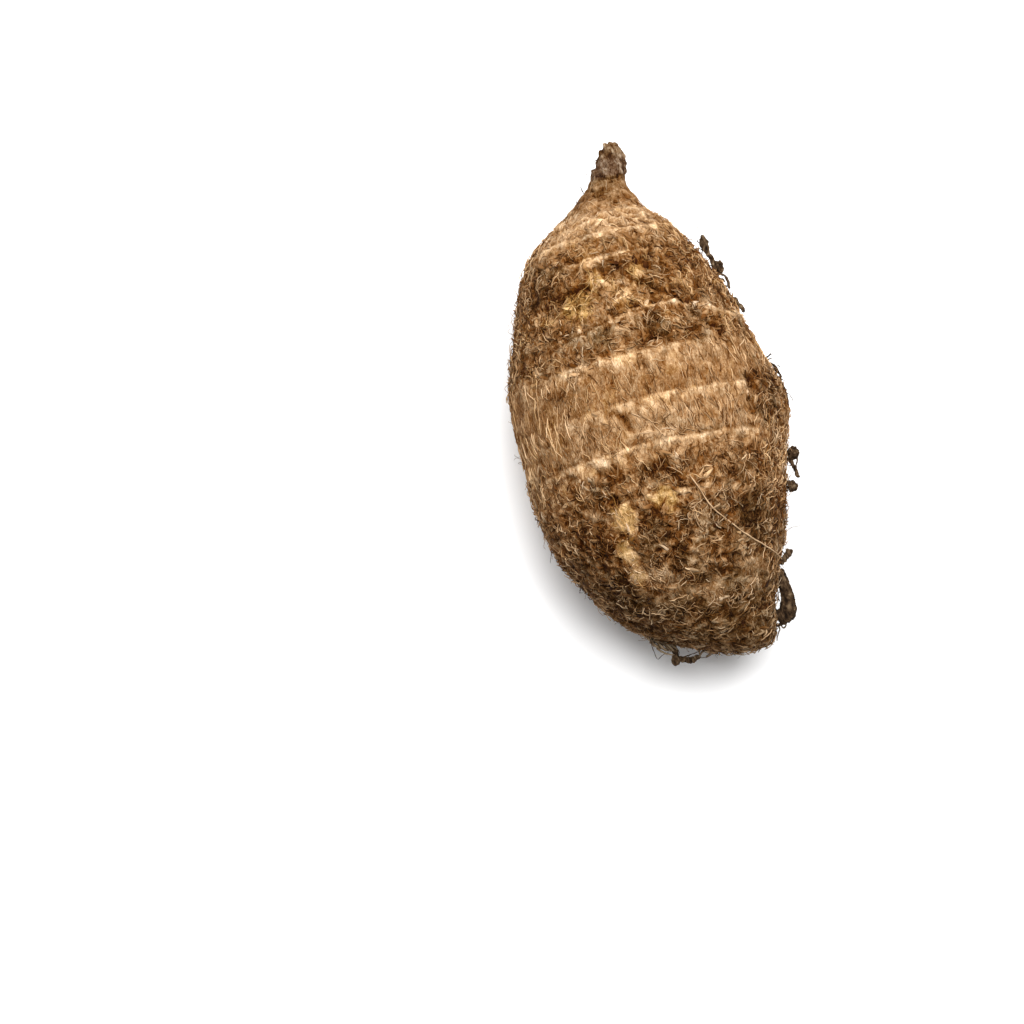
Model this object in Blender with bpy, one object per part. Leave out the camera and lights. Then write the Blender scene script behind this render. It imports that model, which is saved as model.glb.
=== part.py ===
"""A taro corm lying on its side, with the dead roots and the soil that still cling to it.

Metres, +Z up. The corm's length runs along Y with its neck towards +Y. It rests on a small flat
on its belly at Z = 0, and the middle of its footprint's box is the origin.
"""

import math

import bmesh
import bpy
from mathutils import Vector, noise
from mathutils.bvhtree import BVHTree

MM = 0.001
GAP = 0.3  # mm between two pieces that touch

# The corm. Each section is (how far along from the middle, sideways place of its centre,
# half width, how far its centre sags below the belly's), in mm, from the stub down to the base.
SECTIONS = (
    (59.5, 6.8, 0.0, 4.6),
    (59.0, 6.8, 1.5, 4.6),
    (56.7, 6.3, 3.0, 4.4),
    (53.4, 5.0, 4.0, 4.0),
    (51.0, 4.1, 4.0, 3.6),
    (48.8, 2.9, 5.2, 3.2),
    (46.0, 2.1, 7.0, 2.8),
    (42.0, 0.3, 10.8, 2.1),
    (37.5, -0.8, 16.1, 1.3),
    (31.0, -1.1, 19.7, 0.7),
    (20.0, -0.7, 24.3, 0.2),
    (6.0, -1.3, 28.0, 0.0),
    (-8.0, -0.7, 29.2, 0.0),
    (-24.0, -1.1, 27.3, 0.3),
    (-39.0, -0.6, 22.0, 1.6),
    (-50.0, 2.2, 15.0, 3.2),
    (-56.0, 7.0, 9.3, 4.2),
    (-58.9, 9.6, 5.4, 4.6),
    (-59.9, 10.4, 0.0, 4.7),
)
FLATNESS = 0.94  # height over width in the fat part of the body; the neck is round
ROUND_NECK = 6.0  # half width up to which a section stays round, mm
OVAL_BODY = 16.0  # half width from which a section has its full flatness, mm
BELLY_FLAT = 1.8  # how much of the roundest section is lost to the flat it rests on, mm
SECTORS = 38  # faces around the corm
RINGS = 40  # faces from the stub to the base
FINE_RINGS = 0.30  # spacing of rings where the corm is thin, as a part of that at the belly

# Broad swellings (+) and hollows (-) of the body: (along, angle from +X, height, radius), mm, deg
LUMPS = (
    (-6.0, -3.0, 2.8, 9.0),
    (-34.5, 0.0, 1.0, 6.0),
    (-29.0, 178.0, 1.0, 7.0),
    (36.0, 150.0, 0.8, 9.0),
    (30.0, 60.0, -0.5, 8.0),
    (12.0, 115.0, 0.5, 10.0),
    (-30.0, 75.0, -0.7, 9.0),
    (-40.0, 130.0, 0.6, 9.0),
    (-20.0, 20.0, -0.4, 8.0),
    (-46.0, 40.0, 0.7, 6.0),
    (10.0, 205.0, 0.7, 11.0),
    (-22.0, 225.0, -0.7, 9.0),
    (24.0, 300.0, 0.6, 9.0),
    (-34.0, 320.0, -0.6, 9.0),
)
UNEVEN = 0.45  # height of the skin's gentle unevenness, mm
UNEVEN_SPAN = 13.0  # and how far apart its hills are, mm

# Dead roots, from the foot on the corm to the broken end: (x, y, z, radius), mm. A point that
# comes too near the skin is moved straight out until the root clears it.
ROOTS = {
    "thick_root": (
        (17.1, -54.7, 21.6, 1.10),
        (18.3, -54.2, 21.7, 1.60),
        (19.6, -53.5, 21.9, 1.75),
        (20.3, -51.8, 22.1, 1.50),
        (20.6, -50.2, 22.3, 1.15),
        (20.5, -48.3, 22.6, 0.95),
        (20.2, -46.6, 22.8, 1.00),
        (20.2, -45.2, 22.9, 0.85),
        (20.4, -44.1, 22.9, 0.35),
    ),
    "hook_root": (
        (20.5, -42.6, 24.6, 0.36),
        (21.5, -42.0, 25.0, 0.42),
        (22.3, -41.5, 25.3, 0.52),
        (22.9, -41.0, 25.4, 0.60),
        (23.2, -40.4, 25.5, 0.45),
    ),
    "crumb_rootlet": (
        (27.9, -20.6, 26.6, 0.30),
        (28.3, -21.7, 26.8, 0.30),
        (28.6, -22.9, 26.9, 0.26),
        (28.9, -24.1, 26.9, 0.22),
        (29.1, -25.1, 26.8, 0.18),
    ),
    "side_root": (
        (24.5, 17.3, 27.2, 0.32),
        (25.1, 16.4, 27.6, 0.34),
        (25.6, 15.4, 27.8, 0.30),
        (26.0, 14.5, 27.8, 0.28),
        (26.4, 13.7, 27.8, 0.24),
    ),
    "upper_root": (
        (22.1, 25.0, 27.2, 0.75),
        (22.2, 26.3, 27.6, 0.45),
        (21.9, 27.7, 27.8, 0.38),
        (21.4, 28.8, 27.9, 0.42),
        (21.3, 29.9, 27.8, 0.68),
        (21.3, 31.0, 27.6, 0.90),
        (21.3, 32.0, 27.5, 0.55),
        (21.2, 32.7, 27.4, 0.20),
    ),
    "base_rootlet": (
        (-6.7, -54.2, 19.8, 0.40),
        (-6.8, -55.5, 19.4, 0.42),
        (-6.5, -56.6, 18.9, 0.50),
        (-7.2, -58.3, 18.2, 0.70),
        (-5.9, -57.8, 18.1, 0.52),
        (-4.9, -58.1, 18.0, 0.46),
        (-3.9, -58.6, 18.0, 0.50),
        (-2.8, -58.5, 18.2, 0.44),
        (-1.5, -58.2, 18.6, 0.32),
    ),
}
ROOT_STEPS = 4  # straight lengths between two points of a root
ROOT_SIDES = 2  # bevel resolution of a root: eight sides

# Crumbs of soil: (x, y, z, half length along the corm, half width), mm. Each is set on the skin.
CRUMBS = {
    "rooted_crumb": (29.1, -19.5, 27.0, 1.35, 1.15),
    "soil_crumb": (25.8, -26.3, 26.0, 1.25, 1.00),
    "soil_bead": (23.3, 25.3, 25.2, 1.30, 1.00),
}
CRUMB_ROUGHNESS = 0.22  # unevenness of a crumb as a part of its radius

# name: (colour, roughness)
FINISHES = {
    "fibrous_skin": ((0.27, 0.15, 0.065), 0.85),
    "dead_root": ((0.075, 0.050, 0.034), 0.80),
    "dry_soil": ((0.060, 0.045, 0.034), 0.95),
}


def clear_scene():
    for thing in list(bpy.data.objects):
        bpy.data.objects.remove(thing, do_unlink=True)


def finish(name):
    """A material of one of the finishes."""
    material = bpy.data.materials.new(name)
    material.use_nodes = True
    colour, roughness = FINISHES[name]
    surface = material.node_tree.nodes["Principled BSDF"]
    surface.inputs["Base Color"].default_value = (*colour, 1.0)
    surface.inputs["Roughness"].default_value = roughness
    surface.inputs["Metallic"].default_value = 0.0
    return material


def smoothstep(low, high, value):
    part = min(1.0, max(0.0, (value - low) / (high - low)))
    return part * part * (3.0 - 2.0 * part)


def curve_through(points, part):
    """The place at part (0 to 1) of a Catmull-Rom curve through the points, each a tuple."""
    spans = len(points) - 1
    at = min(part * spans, spans - 1e-9)
    first = int(at)
    t = at - first
    before = points[max(first - 1, 0)]
    after = points[min(first + 2, spans)]
    return tuple(
        0.5 * (2 * b + (c - a) * t + (2 * a - 5 * b + 4 * c - d) * t**2 + (3 * b - a - 3 * c + d) * t**3)
        for a, b, c, d in zip(before, points[first], points[first + 1], after)
    )


def ring_sections():
    """The sections at RINGS + 1 places from pole to pole, closer together where the corm is thin."""
    samples = [curve_through(SECTIONS, i / 1200) for i in range(1201)]
    fat = max(section[2] for section in samples)
    travelled = [0.0]
    for last, here in zip(samples, samples[1:]):
        step = math.hypot(here[0] - last[0], here[2] - last[2])
        share = FINE_RINGS + (1 - FINE_RINGS) * min(1.0, here[2] / (0.6 * fat))
        travelled.append(travelled[-1] + step / share)
    rings = []
    index = 0
    for ring in range(RINGS + 1):
        wanted = travelled[-1] * ring / RINGS
        while index < 1200 and travelled[index] < wanted:
            index += 1
        rings.append(samples[index])
    return rings


def half_height(half_width):
    return half_width * (1 - (1 - FLATNESS) * smoothstep(ROUND_NECK, OVAL_BODY, half_width))


def belly_height():
    """Height of the centre of the fattest section over the flat, mm."""
    return half_height(max(section[2] for section in SECTIONS)) - BELLY_FLAT


def swelling(place, centre):
    """How far the skin stands out of its smooth section at this place, mm."""
    out = place - centre
    angle = math.atan2(out.z, out.x)
    total = UNEVEN * noise.noise(place / UNEVEN_SPAN)
    for along, degrees, height, radius in LUMPS:
        turn = (angle - math.radians(degrees) + math.pi) % (2 * math.pi) - math.pi
        away = math.hypot(place.y - along, turn * out.length)
        total += height * math.exp(-((away / radius) ** 2))
    return total * smoothstep(2.0, 9.0, out.length)


def make_corm(material, collection):
    """A sphere's rings, each moved to its section of the corm, then swollen and set on its flat."""
    mesh = bmesh.new()
    bmesh.ops.create_uvsphere(mesh, u_segments=SECTORS, v_segments=RINGS, radius=1.0)
    sections = ring_sections()
    for vert in mesh.verts:
        ring = round(math.acos(max(-1.0, min(1.0, vert.co.z))) / math.pi * RINGS)
        along, sideways, half_width, sag = sections[ring]
        centre = Vector((sideways, along, belly_height() - sag))
        angle = math.atan2(-vert.co.y, vert.co.x)
        reach = 0.0 if ring in (0, RINGS) else 1.0
        out = Vector((math.cos(angle) * half_width, 0.0, math.sin(angle) * half_height(half_width))) * reach
        place = centre + out
        if reach:
            place += out.normalized() * swelling(place, centre)
        place.z = max(place.z, 0.0)
        vert.co = place * MM
    return place_mesh("corm", mesh, material, collection)


def place_mesh(name, mesh, material, collection):
    data = bpy.data.meshes.new(name)
    mesh.to_mesh(data)
    mesh.free()
    data.shade_smooth()
    data.materials.append(material)
    thing = bpy.data.objects.new(name, data)
    collection.objects.link(thing)
    return thing


class Skin:
    """The corm's skin, to set the other pieces on."""

    def __init__(self, corm):
        mesh = bmesh.new()
        mesh.from_mesh(corm.data)
        self.tree = BVHTree.FromBMesh(mesh)
        mesh.free()

    def set_on(self, place, radius):
        """The centre, in metres, of a ball of this radius that all but touches the skin near place."""
        nearest, normal, _, _ = self.tree.find_nearest(Vector(place) * MM)
        return nearest + normal * (radius + GAP) * MM

    def clear_of(self, place, radius):
        """Place in metres, moved out of the skin's way if a ball of this radius there would touch it."""
        here = Vector(place) * MM
        nearest, normal, _, _ = self.tree.find_nearest(here)
        height = (here - nearest).dot(normal)
        return here if height > (radius + GAP) * MM else self.set_on(place, radius)


def make_root(name, skin, material, collection):
    """A tapered tube through the root's points, its foot set on the skin."""
    steps = ROOT_STEPS * (len(ROOTS[name]) - 1)
    curve = bpy.data.curves.new(name, "CURVE")
    curve.dimensions = "3D"
    curve.bevel_depth = MM
    curve.bevel_resolution = ROOT_SIDES
    curve.use_fill_caps = True
    line = curve.splines.new("POLY")
    line.points.add(steps)
    for index, point in enumerate(line.points):
        x, y, z, radius = curve_through(ROOTS[name], index / steps)
        settle = skin.clear_of if index else skin.set_on
        point.co = (*settle((x, y, z), radius), 1.0)
        point.radius = radius
    curve.materials.append(material)
    thing = bpy.data.objects.new(name, curve)
    collection.objects.link(thing)
    return thing


def make_crumb(name, skin, material, collection):
    """A clod of soil: an uneven ball that all but touches the skin."""
    x, y, z, half_length, half_width = CRUMBS[name]
    centre = skin.set_on((x, y, z), half_length * (1 + 0.5 * CRUMB_ROUGHNESS))
    mesh = bmesh.new()
    bmesh.ops.create_icosphere(mesh, subdivisions=3, radius=1.0)
    for vert in mesh.verts:
        uneven = 1 + CRUMB_ROUGHNESS * noise.noise(vert.co * 1.6 + Vector((x, y, z)))
        out = Vector((vert.co.x * half_width, vert.co.y * half_length, vert.co.z * half_width))
        vert.co = centre + out * uneven * MM
    return place_mesh(name, mesh, material, collection)


def main():
    clear_scene()
    collection = bpy.data.collections.new("taro_root")
    bpy.context.scene.collection.children.link(collection)
    finishes = {name: finish(name) for name in FINISHES}
    corm = make_corm(finishes["fibrous_skin"], collection)
    skin = Skin(corm)
    for name in ROOTS:
        make_root(name, skin, finishes["dead_root"], collection)
    for name in CRUMBS:
        make_crumb(name, skin, finishes["dry_soil"], collection)


main()
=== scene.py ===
# %% [markdown]
# # A taro corm
# A taro corm is the swollen underground stem of the plant. Leaf after leaf grew from it and rotted
# away, and each one left two things behind: a scar that runs round the corm as a pale ring, and the
# tough fibres of its sheath, which still lie on the skin from that ring towards the neck. This file
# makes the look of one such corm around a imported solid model, the frame. The frame's solids are never
# changed: a piece made here stands in for each of them, at the same place and size.

# %% Load the frame
import math

import bpy
import numpy as np
from mathutils import Matrix, Vector, noise
from mathutils.bvhtree import BVHTree


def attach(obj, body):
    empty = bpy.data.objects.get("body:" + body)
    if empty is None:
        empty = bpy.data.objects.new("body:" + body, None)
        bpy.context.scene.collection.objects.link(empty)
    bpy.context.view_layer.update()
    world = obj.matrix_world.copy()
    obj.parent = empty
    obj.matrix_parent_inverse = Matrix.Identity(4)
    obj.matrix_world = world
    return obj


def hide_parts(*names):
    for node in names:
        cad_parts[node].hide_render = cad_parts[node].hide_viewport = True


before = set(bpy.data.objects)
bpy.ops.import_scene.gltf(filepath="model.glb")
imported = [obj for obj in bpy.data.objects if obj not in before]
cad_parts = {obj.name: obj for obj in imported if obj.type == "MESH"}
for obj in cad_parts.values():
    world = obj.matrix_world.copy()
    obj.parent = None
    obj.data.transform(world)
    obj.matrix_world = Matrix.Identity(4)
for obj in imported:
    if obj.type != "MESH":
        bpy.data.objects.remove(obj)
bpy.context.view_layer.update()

MM = 0.001
LOWEST = 0.02  # how close the husk comes to what the corm lies on, mm
rng = np.random.default_rng(7)

# %% [markdown]
# ## Where things are on the corm
# The corm lies along Y with its neck at +Y, and it is neither straight nor round. A place on it is
# easiest to name by how far along it is and by the angle round its middle line, with 0 degrees
# at +X and 90 degrees on top. So the first step measures the middle line from the frame's own solid.

# %% The corm's middle line
corm_points = np.array([v.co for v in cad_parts["corm"].data.vertices]) / MM
STATIONS = 60
SLICE = 3.0  # half the thickness of a slice that a station is measured from, mm
END_MARGIN = 0.5  # from each end of the corm to its first station, mm
base_end, stub_end = corm_points[:, 1].min() + END_MARGIN, corm_points[:, 1].max() - END_MARGIN
station_at = np.linspace(base_end, stub_end, STATIONS)
slices = [corm_points[np.abs(corm_points[:, 1] - at) < SLICE] for at in station_at]
station_x, station_z = [
    np.array([(part[:, axis].min() + part[:, axis].max()) / 2 for part in slices]) for axis in (0, 2)
]
print(f"middle line from {station_at[0]:.0f} to {station_at[-1]:.0f} mm")

# %% [markdown]
# ## Three smooth shapes
# Nothing on a grown skin has a hard edge or a plain repeat. Three small functions make all that is
# worked out in numbers below: a noise for what is uneven, a step for what begins somewhere, and a
# fall-off for what lies round a place.

# %% Uneven, beginning and fading
def hills(points, size, shift=0.0):
    """Smooth noise between about -1 and 1, with hills this far apart. Size is mm, or mm per axis. Shift
    only picks another pattern."""
    return np.array([noise.noise(Vector(p)) for p in points / size + shift])


def step(low, high, value):
    """0 below low, 1 above high, smooth between."""
    part = np.clip((value - low) / (high - low), 0.0, 1.0)
    return part * part * (3.0 - 2.0 * part)


def falloff(away, reach):
    """1 at the place itself, about a third at its reach and almost 0 at twice that."""
    return np.exp(-((away / reach) ** 2))


print("hills at three places:", np.round(hills(np.array([(0, 0, 0), (2, 1, 0), (5, 3, 1)]), 4.0, 0.5), 2))

# %% [markdown]
# ## What the skin is like, place by place
# The look of the husk changes along the corm: tan and smooth by the neck, dark and matted below it,
# pale with straight fibres over the belly, then dark and matted again to the base. These tables hold
# that as a grower would say it. Tone is how light the skin is (0 dark brown, 1 cream), hue how it
# leans (0 purplish and dusty, 1 golden), and matting how felted its fibres are (0 straight, 1
# tangled). Everything below reads them: the relief of the skin, its colour, and how the fibres lie.

# %% The skin's zones, rings, patches and cracks
# (along, tone, matting, hue)
ZONES = np.array((
    (59.0, 0.30, 0.50, 0.0),
    (51.5, 0.27, 0.50, 0.0),
    (50.5, 0.35, 0.15, 0.15),
    (46.0, 0.35, 0.15, 0.36),
    (42.0, 0.56, 0.20, 0.48),
    (37.5, 0.54, 0.40, 0.50),
    (35.0, 0.42, 0.60, 0.50),
    (32.0, 0.32, 0.80, 0.52),
    (27.0, 0.25, 0.95, 0.48),
    (21.0, 0.33, 0.90, 0.54),
    (15.0, 0.32, 0.90, 0.48),
    (9.0, 0.35, 0.85, 0.47),
    (7.0, 0.44, 0.40, 0.46),
    (1.0, 0.40, 0.15, 0.44),
    (-5.0, 0.45, 0.15, 0.46),
    (-12.0, 0.43, 0.30, 0.45),
    (-15.0, 0.38, 0.60, 0.47),
    (-20.0, 0.33, 0.85, 0.47),
    (-29.0, 0.27, 1.00, 0.42),
    (-35.0, 0.22, 1.00, 0.30),
    (-41.0, 0.26, 0.85, 0.27),
    (-47.0, 0.21, 0.80, 0.14),
    (-59.0, 0.20, 0.75, 0.08),
))[::-1]
# Leaf scars: (along, brightness, width in mm, angle it is brightest at, how far round it stays
# bright, how far it bows towards the base away from there)
RINGS = (
    (42.7, 0.14, 0.8, 85.0, 50.0, 0.4),
    (40.3, 0.20, 1.1, 85.0, 50.0, 0.5),
    (36.8, 0.24, 1.0, 100.0, 40.0, 0.4),
    (30.9, 0.44, 0.9, 88.0, 16.0, 1.0),
    (17.2, 0.38, 0.7, 74.0, 36.0, 6.0),
    (7.5, 0.25, 1.8, 96.0, 26.0, 0.7),
    (-3.0, 0.31, 1.7, 78.0, 32.0, 0.5),
    (-12.8, 0.30, 2.0, 95.0, 46.0, 1.2),
    (-23.8, 0.32, 1.7, 88.0, 12.0, 1.0),
    (-34.0, 0.20, 1.2, 105.0, 16.0, 1.0),
    (-44.5, 0.14, 1.0, 90.0, 40.0, 1.0),
    (-52.5, 0.12, 0.9, 90.0, 60.0, 0.5),
)
# Patches that differ: (along, angle, reach in mm, change of tone, of matting, of hue)
PATCHES = (
    (-42.0, 108.0, 3.0, 0.24, -0.5, 0.15),
    (-39.4, 122.0, 1.9, 0.30, -0.6, 0.50),
    (-34.2, 122.0, 2.1, 0.34, -0.7, 0.65),
    (-27.2, 116.0, 2.9, 0.36, -0.8, 0.50),
    (-24.5, 129.0, 1.6, 0.24, -0.4, -0.10),
    (-24.6, 92.0, 2.8, 0.20, -0.6, 0.55),
    (-30.4, 77.0, 2.0, 0.20, -0.5, 0.0),
    (-38.5, 84.0, 2.0, 0.18, -0.4, 0.0),
    (-46.0, 80.0, 3.0, 0.12, -0.4, 0.1),
    (-37.0, 55.0, 2.4, 0.18, -0.4, 0.0),
    (-44.0, 45.0, 4.0, 0.12, -0.4, 0.0),
    (21.2, 117.0, 3.0, 0.12, -0.2, 0.55),
    (21.6, 92.0, 3.6, 0.14, 0.0, 0.10),
    (25.7, 76.0, 1.6, 0.22, -0.3, 0.55),
    (25.6, 102.0, 1.8, 0.26, -0.4, 0.55),
    (22.0, 52.0, 1.6, 0.22, 0.0, 0.15),
    (17.5, 112.0, 2.0, 0.14, 0.0, 0.25),
    (7.0, 100.0, 1.4, 0.24, -0.3, 0.0),
    (6.7, 93.0, 1.2, 0.20, -0.3, 0.0),
    (-6.5, 23.0, 6.3, -0.24, 0.9, -0.15),
    (-5.0, 4.0, 4.0, -0.18, 0.6, -0.15),
    (-31.0, 44.0, 4.0, -0.12, 0.0, -0.35),
    (-42.0, 140.0, 4.5, -0.12, 0.2, -0.2),
    (-22.0, 121.0, 3.2, -0.12, 0.2, -0.15),
    (-19.5, 96.0, 2.6, -0.10, 0.2, -0.10),
    (-29.5, 100.0, 3.0, -0.10, 0.0, -0.1),
    (-31.0, 135.0, 4.0, -0.12, 0.0, 0.0),
    (28.3, 140.0, 5.0, -0.08, 0.0, -0.2),
    (28.0, 90.0, 2.6, -0.08, 0.0, -0.2),
    (12.5, 75.0, 2.6, -0.04, 0.0, -0.30),
    (12.0, 105.0, 2.6, -0.08, 0.0, -0.3),
    (-21.5, 14.0, 1.4, 0.40, -0.6, 0.30),
)
# Where the husk stands out or is pressed in: (along, angle, reach in mm, height in mm)
BULGES = (
    (-45.5, 186.0, 5.0, 1.1),
    (-52.0, 190.0, 3.0, 0.5),
    (-10.5, 2.0, 4.0, 0.7),
    (-39.5, 2.0, 3.5, 0.4),
    (13.8, 4.0, 4.0, -0.6),
)
# Cracks in the felt, pressed in and painted dark along them as painted shade: (reach in mm, depth in mm, then
# the places it runs through)
CRACKS = (
    (0.75, 1.1, (22.6, 79.0), (21.0, 71.0), (18.8, 63.0), (16.4, 55.0)),
    (0.60, 0.8, (24.6, 121.0), (25.1, 113.0), (24.7, 106.0)),
    (0.45, 0.7, (9.9, 84.0), (9.4, 77.0), (9.8, 70.0)),
    (0.80, 0.9, (10.8, 47.0), (10.0, 43.0)),
    (1.00, 1.6, (-10.4, 12.0), (-10.9, 13.0)),
    (0.80, 1.0, (-3.4, 35.0), (-4.8, 32.0)),
    (0.55, 0.7, (-17.0, 96.0), (-19.0, 90.0), (-20.4, 87.0)),
    (0.50, 0.6, (29.4, 64.0), (29.9, 59.0)),
    (0.45, 0.5, (52.5, 122.0), (51.6, 88.0), (50.7, 39.0)),
    (0.60, 0.8, (-4.5, 112.0), (-7.0, 107.0), (-8.2, 105.0)),
)
# Round scars where roots broke away: (along, angle)
ROOT_SCARS = ((-22.6, 100.0), (-38.0, 10.0), (-46.0, 200.0), (-18.0, 250.0), (24.0, 310.0), (-30.0, 175.0))

print(len(RINGS), "rings,", len(PATCHES), "patches,", len(CRACKS), "cracks")

# %% Distances on the skin
def off_middle(points):
    """Each point's sideways place and height from the middle line, in mm."""
    x = points[:, 0] - np.interp(points[:, 1], station_at, station_x)
    z = points[:, 2] - np.interp(points[:, 1], station_at, station_z)
    return x, z


def turn_between(angles, degrees):
    """How far round each angle is from this one, from -180 to 180."""
    return (angles - degrees + 180.0) % 360.0 - 180.0


def reach_from(points, angles, along, degrees):
    """Distance of each point from a place on the skin, going round it, in mm."""
    round_it = np.radians(turn_between(angles, degrees)) * np.hypot(*off_middle(points))
    return np.hypot(points[:, 1] - along, round_it)


def reach_from_crack(points, angles, places):
    """Distance of each point from a line of places on the skin, in mm."""
    away = np.full(len(points), 1e3)
    radius = np.hypot(*off_middle(points))
    for (start, from_degrees), (end, to_degrees) in zip(places, places[1:]):
        x = np.radians(turn_between(angles, from_degrees)) * radius
        y = points[:, 1] - start
        width = np.radians(to_degrees - from_degrees) * radius
        length = end - start
        part = np.clip((x * width + y * length) / np.maximum(width**2 + length**2, 1e-6), 0.0, 1.0)
        away = np.minimum(away, np.hypot(x - part * width, y - part * length))
    return away


belly_top = np.array([(0.0, 0.0, 53.0)])
print("radius on top of the belly, mm:", np.hypot(*off_middle(belly_top)).round(1))

# %% The rings
BOW_WITHIN = 45.0  # how far round from its brightest angle a ring has done most of its bow, degrees
FADE_OVER = 30.0  # over how many degrees its brightness fades
GROOVE_ABOVE = 0.7  # how far above a ring its groove runs, mm


def scars(points, angles):
    """How strongly each point lies on a ring (the sum over the rings), and in the groove above it."""
    waver = 0.45 * hills(points, 7.0, 3.1) + 0.25 * hills(points, 2.0, 8.0)
    broken = 0.50 + 0.45 * step(-0.30, 0.10, hills(points, (2.6, 6.0, 2.6), 5.0))
    broken += 0.35 * hills(points, (1.0, 1.3, 1.0), 25.0)
    ragged = 0.35 + 1.8 * step(-0.4, 0.6, hills(points, (1.1, 4.0, 1.1), 9.0))
    ridge = np.zeros(len(points))
    groove = np.zeros(len(points))
    for along, bright, width, degrees, spread, bow in RINGS:
        turn = np.abs(turn_between(angles, degrees))
        off = points[:, 1] - along + waver + bow * (1.0 - falloff(turn, BOW_WITHIN))
        here = bright * (0.15 + 0.85 * (1.0 - step(spread, spread + FADE_OVER, turn))) * broken
        # The upper edge of a scar is crisp and its lower edge ragged.
        ridge += here * falloff(off, np.where(off > 0, 0.25, width * ragged))
        groove += falloff(off - GROOVE_ABOVE, 0.4) * (0.4 + bright)
    return ridge, groove


print("the brightest ring is", max(RINGS, key=lambda ring: ring[1])[0], "mm along")

# %% [markdown]
# ## Everything at one place
# A ring is pale, stands up, and has few threads across it. If its colour, its relief and its threads
# were made apart they would drift apart, so one function gives all that is true at a place on the
# skin, and every later step asks it.

# %% The skin at a place
NECK_STARTS = (36.0, 40.0)  # where the wrinkled neck begins and where it is fully so, mm along
NECK_ENDS = (49.5, 51.5)  # and where it begins to end and has ended


def skin_at(points):
    """Tone, hue, matting, relief (mm) and scar of the skin at each point, given in mm."""
    angles = np.degrees(np.arctan2(*off_middle(points)[::-1]))
    warp = np.stack([hills(points, 3.0, shift) for shift in (11.0, 23.0, 37.0)], axis=1)
    loose = points + 1.5 * warp
    along = points[:, 1] + 1.6 * hills(points, 9.0, 50.0)
    tone, matting, hue = [np.interp(along, ZONES[:, 0], ZONES[:, column]) for column in (1, 2, 3)]
    hue += 0.22 * hills(loose, 5.0, 13.0)
    ragged = 1.0 + 0.5 * hills(points, 1.3, 19.0)
    for place, degrees, reach, lighter, rougher, warmer in PATCHES:
        near = 1.0 - step(0.6, 1.5, ragged * reach_from(loose, angles, place, degrees) / reach)
        tone += lighter * near
        matting += rougher * near
        hue += warmer * near
    matting = np.clip(matting, 0.05, 1.0)
    ridge, groove = scars(points, angles)
    blotches = 0.22 * hills(loose, 2.3, 1.7) + 0.12 * hills(loose, 5.0, 2.9)
    hollows = step(0.12, 0.36, hills(loose, (1.5, 1.4, 1.5), 7.7))
    fine = hills(loose, (1.0, 1.5, 1.0), 4.4)
    scraps = step(0.16, 0.30, hills(loose, (2.4, 1.8, 2.4), 41.0))  # small scraps of sound husk
    # Between them the bare cork shows, smooth and plum brown.
    bare = step(0.14, 0.24, hills(loose, (2.8, 2.2, 2.8), 61.0)) * matting
    hollows = hollows * (1 - bare)
    hue += 0.10 * hills(loose, 1.9, 71.0) - 0.26 * bare
    tone -= 0.06 * bare
    mottling = blotches * (0.62 + 0.28 * matting)
    # The hollows are painted darker as well as pressed in: painted shade in them.
    tone += mottling + matting * (0.14 * fine - 0.17 * hollows + 0.13 * scraps) + ridge
    relief = 1.2 * blotches + matting * (0.35 * fine - 0.90 * hollows) + 0.40 * ridge
    relief -= 0.25 * groove * (1 - 0.5 * matting)
    # The groove above each ring is painted darker as well as pressed in: painted shade in it.
    tone -= 0.10 * groove
    # Old scars crowd on the neck, so it is wrinkled across.
    on_neck = step(*NECK_STARTS, along) * (1 - step(*NECK_ENDS, along))
    folds = hills(loose, (4.0, 1.2, 4.0), 15.0)
    slits = step(0.22, 0.42, hills(loose, (1.9, 0.75, 1.9), 33.0))
    # The slits are painted darker as well as pressed in: painted shade in them.
    tone += on_neck * (0.20 * folds - 0.20 * slits)
    relief += on_neck * (0.62 * folds - 0.45 * slits)
    for place, degrees, reach, height in BULGES:
        relief += height * falloff(reach_from(points, angles, place, degrees), reach)
    for reach, depth, *places in CRACKS:
        near = falloff(reach_from_crack(loose, angles, places), reach)
        # Each crack is painted darker along it: painted shade.
        tone -= 0.40 * near
        relief -= depth * near
    for place, degrees in ROOT_SCARS:
        away = reach_from(points, angles, place, degrees)
        tone += 0.30 * falloff(away - 0.8, 0.35) - 0.30 * falloff(away, 0.4)  # a pale rim, a dark middle
        relief += 0.35 * falloff(away - 0.8, 0.4)
    return np.clip(tone, 0.02, 1.0), np.clip(hue, 0.0, 1.0), matting, relief, ridge


sample = skin_at(np.array([(0.0, 0.0, 53.0), (0.0, 25.0, 50.0)]))
print("tone on top of the belly and above it:", np.round(sample[0], 2))

# %% [markdown]
# ## Helpers for modelling
# Blender's operators act on whatever is selected, so each step first selects one object alone. Points
# are read and moved all at once and in millimetres, and a number kept on each of them carries what is
# true there to the material.

# %% Select, copy, read and move
def select_only(thing):
    for other in bpy.context.selected_objects:
        other.select_set(False)
    thing.select_set(True)
    bpy.context.view_layer.objects.active = thing


def apply_modifier(thing, kind, **settings):
    select_only(thing)
    modifier = thing.modifiers.new(kind.title(), kind)
    for name, value in settings.items():
        setattr(modifier, name, value)
    bpy.ops.object.modifier_apply(modifier=modifier.name)


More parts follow.
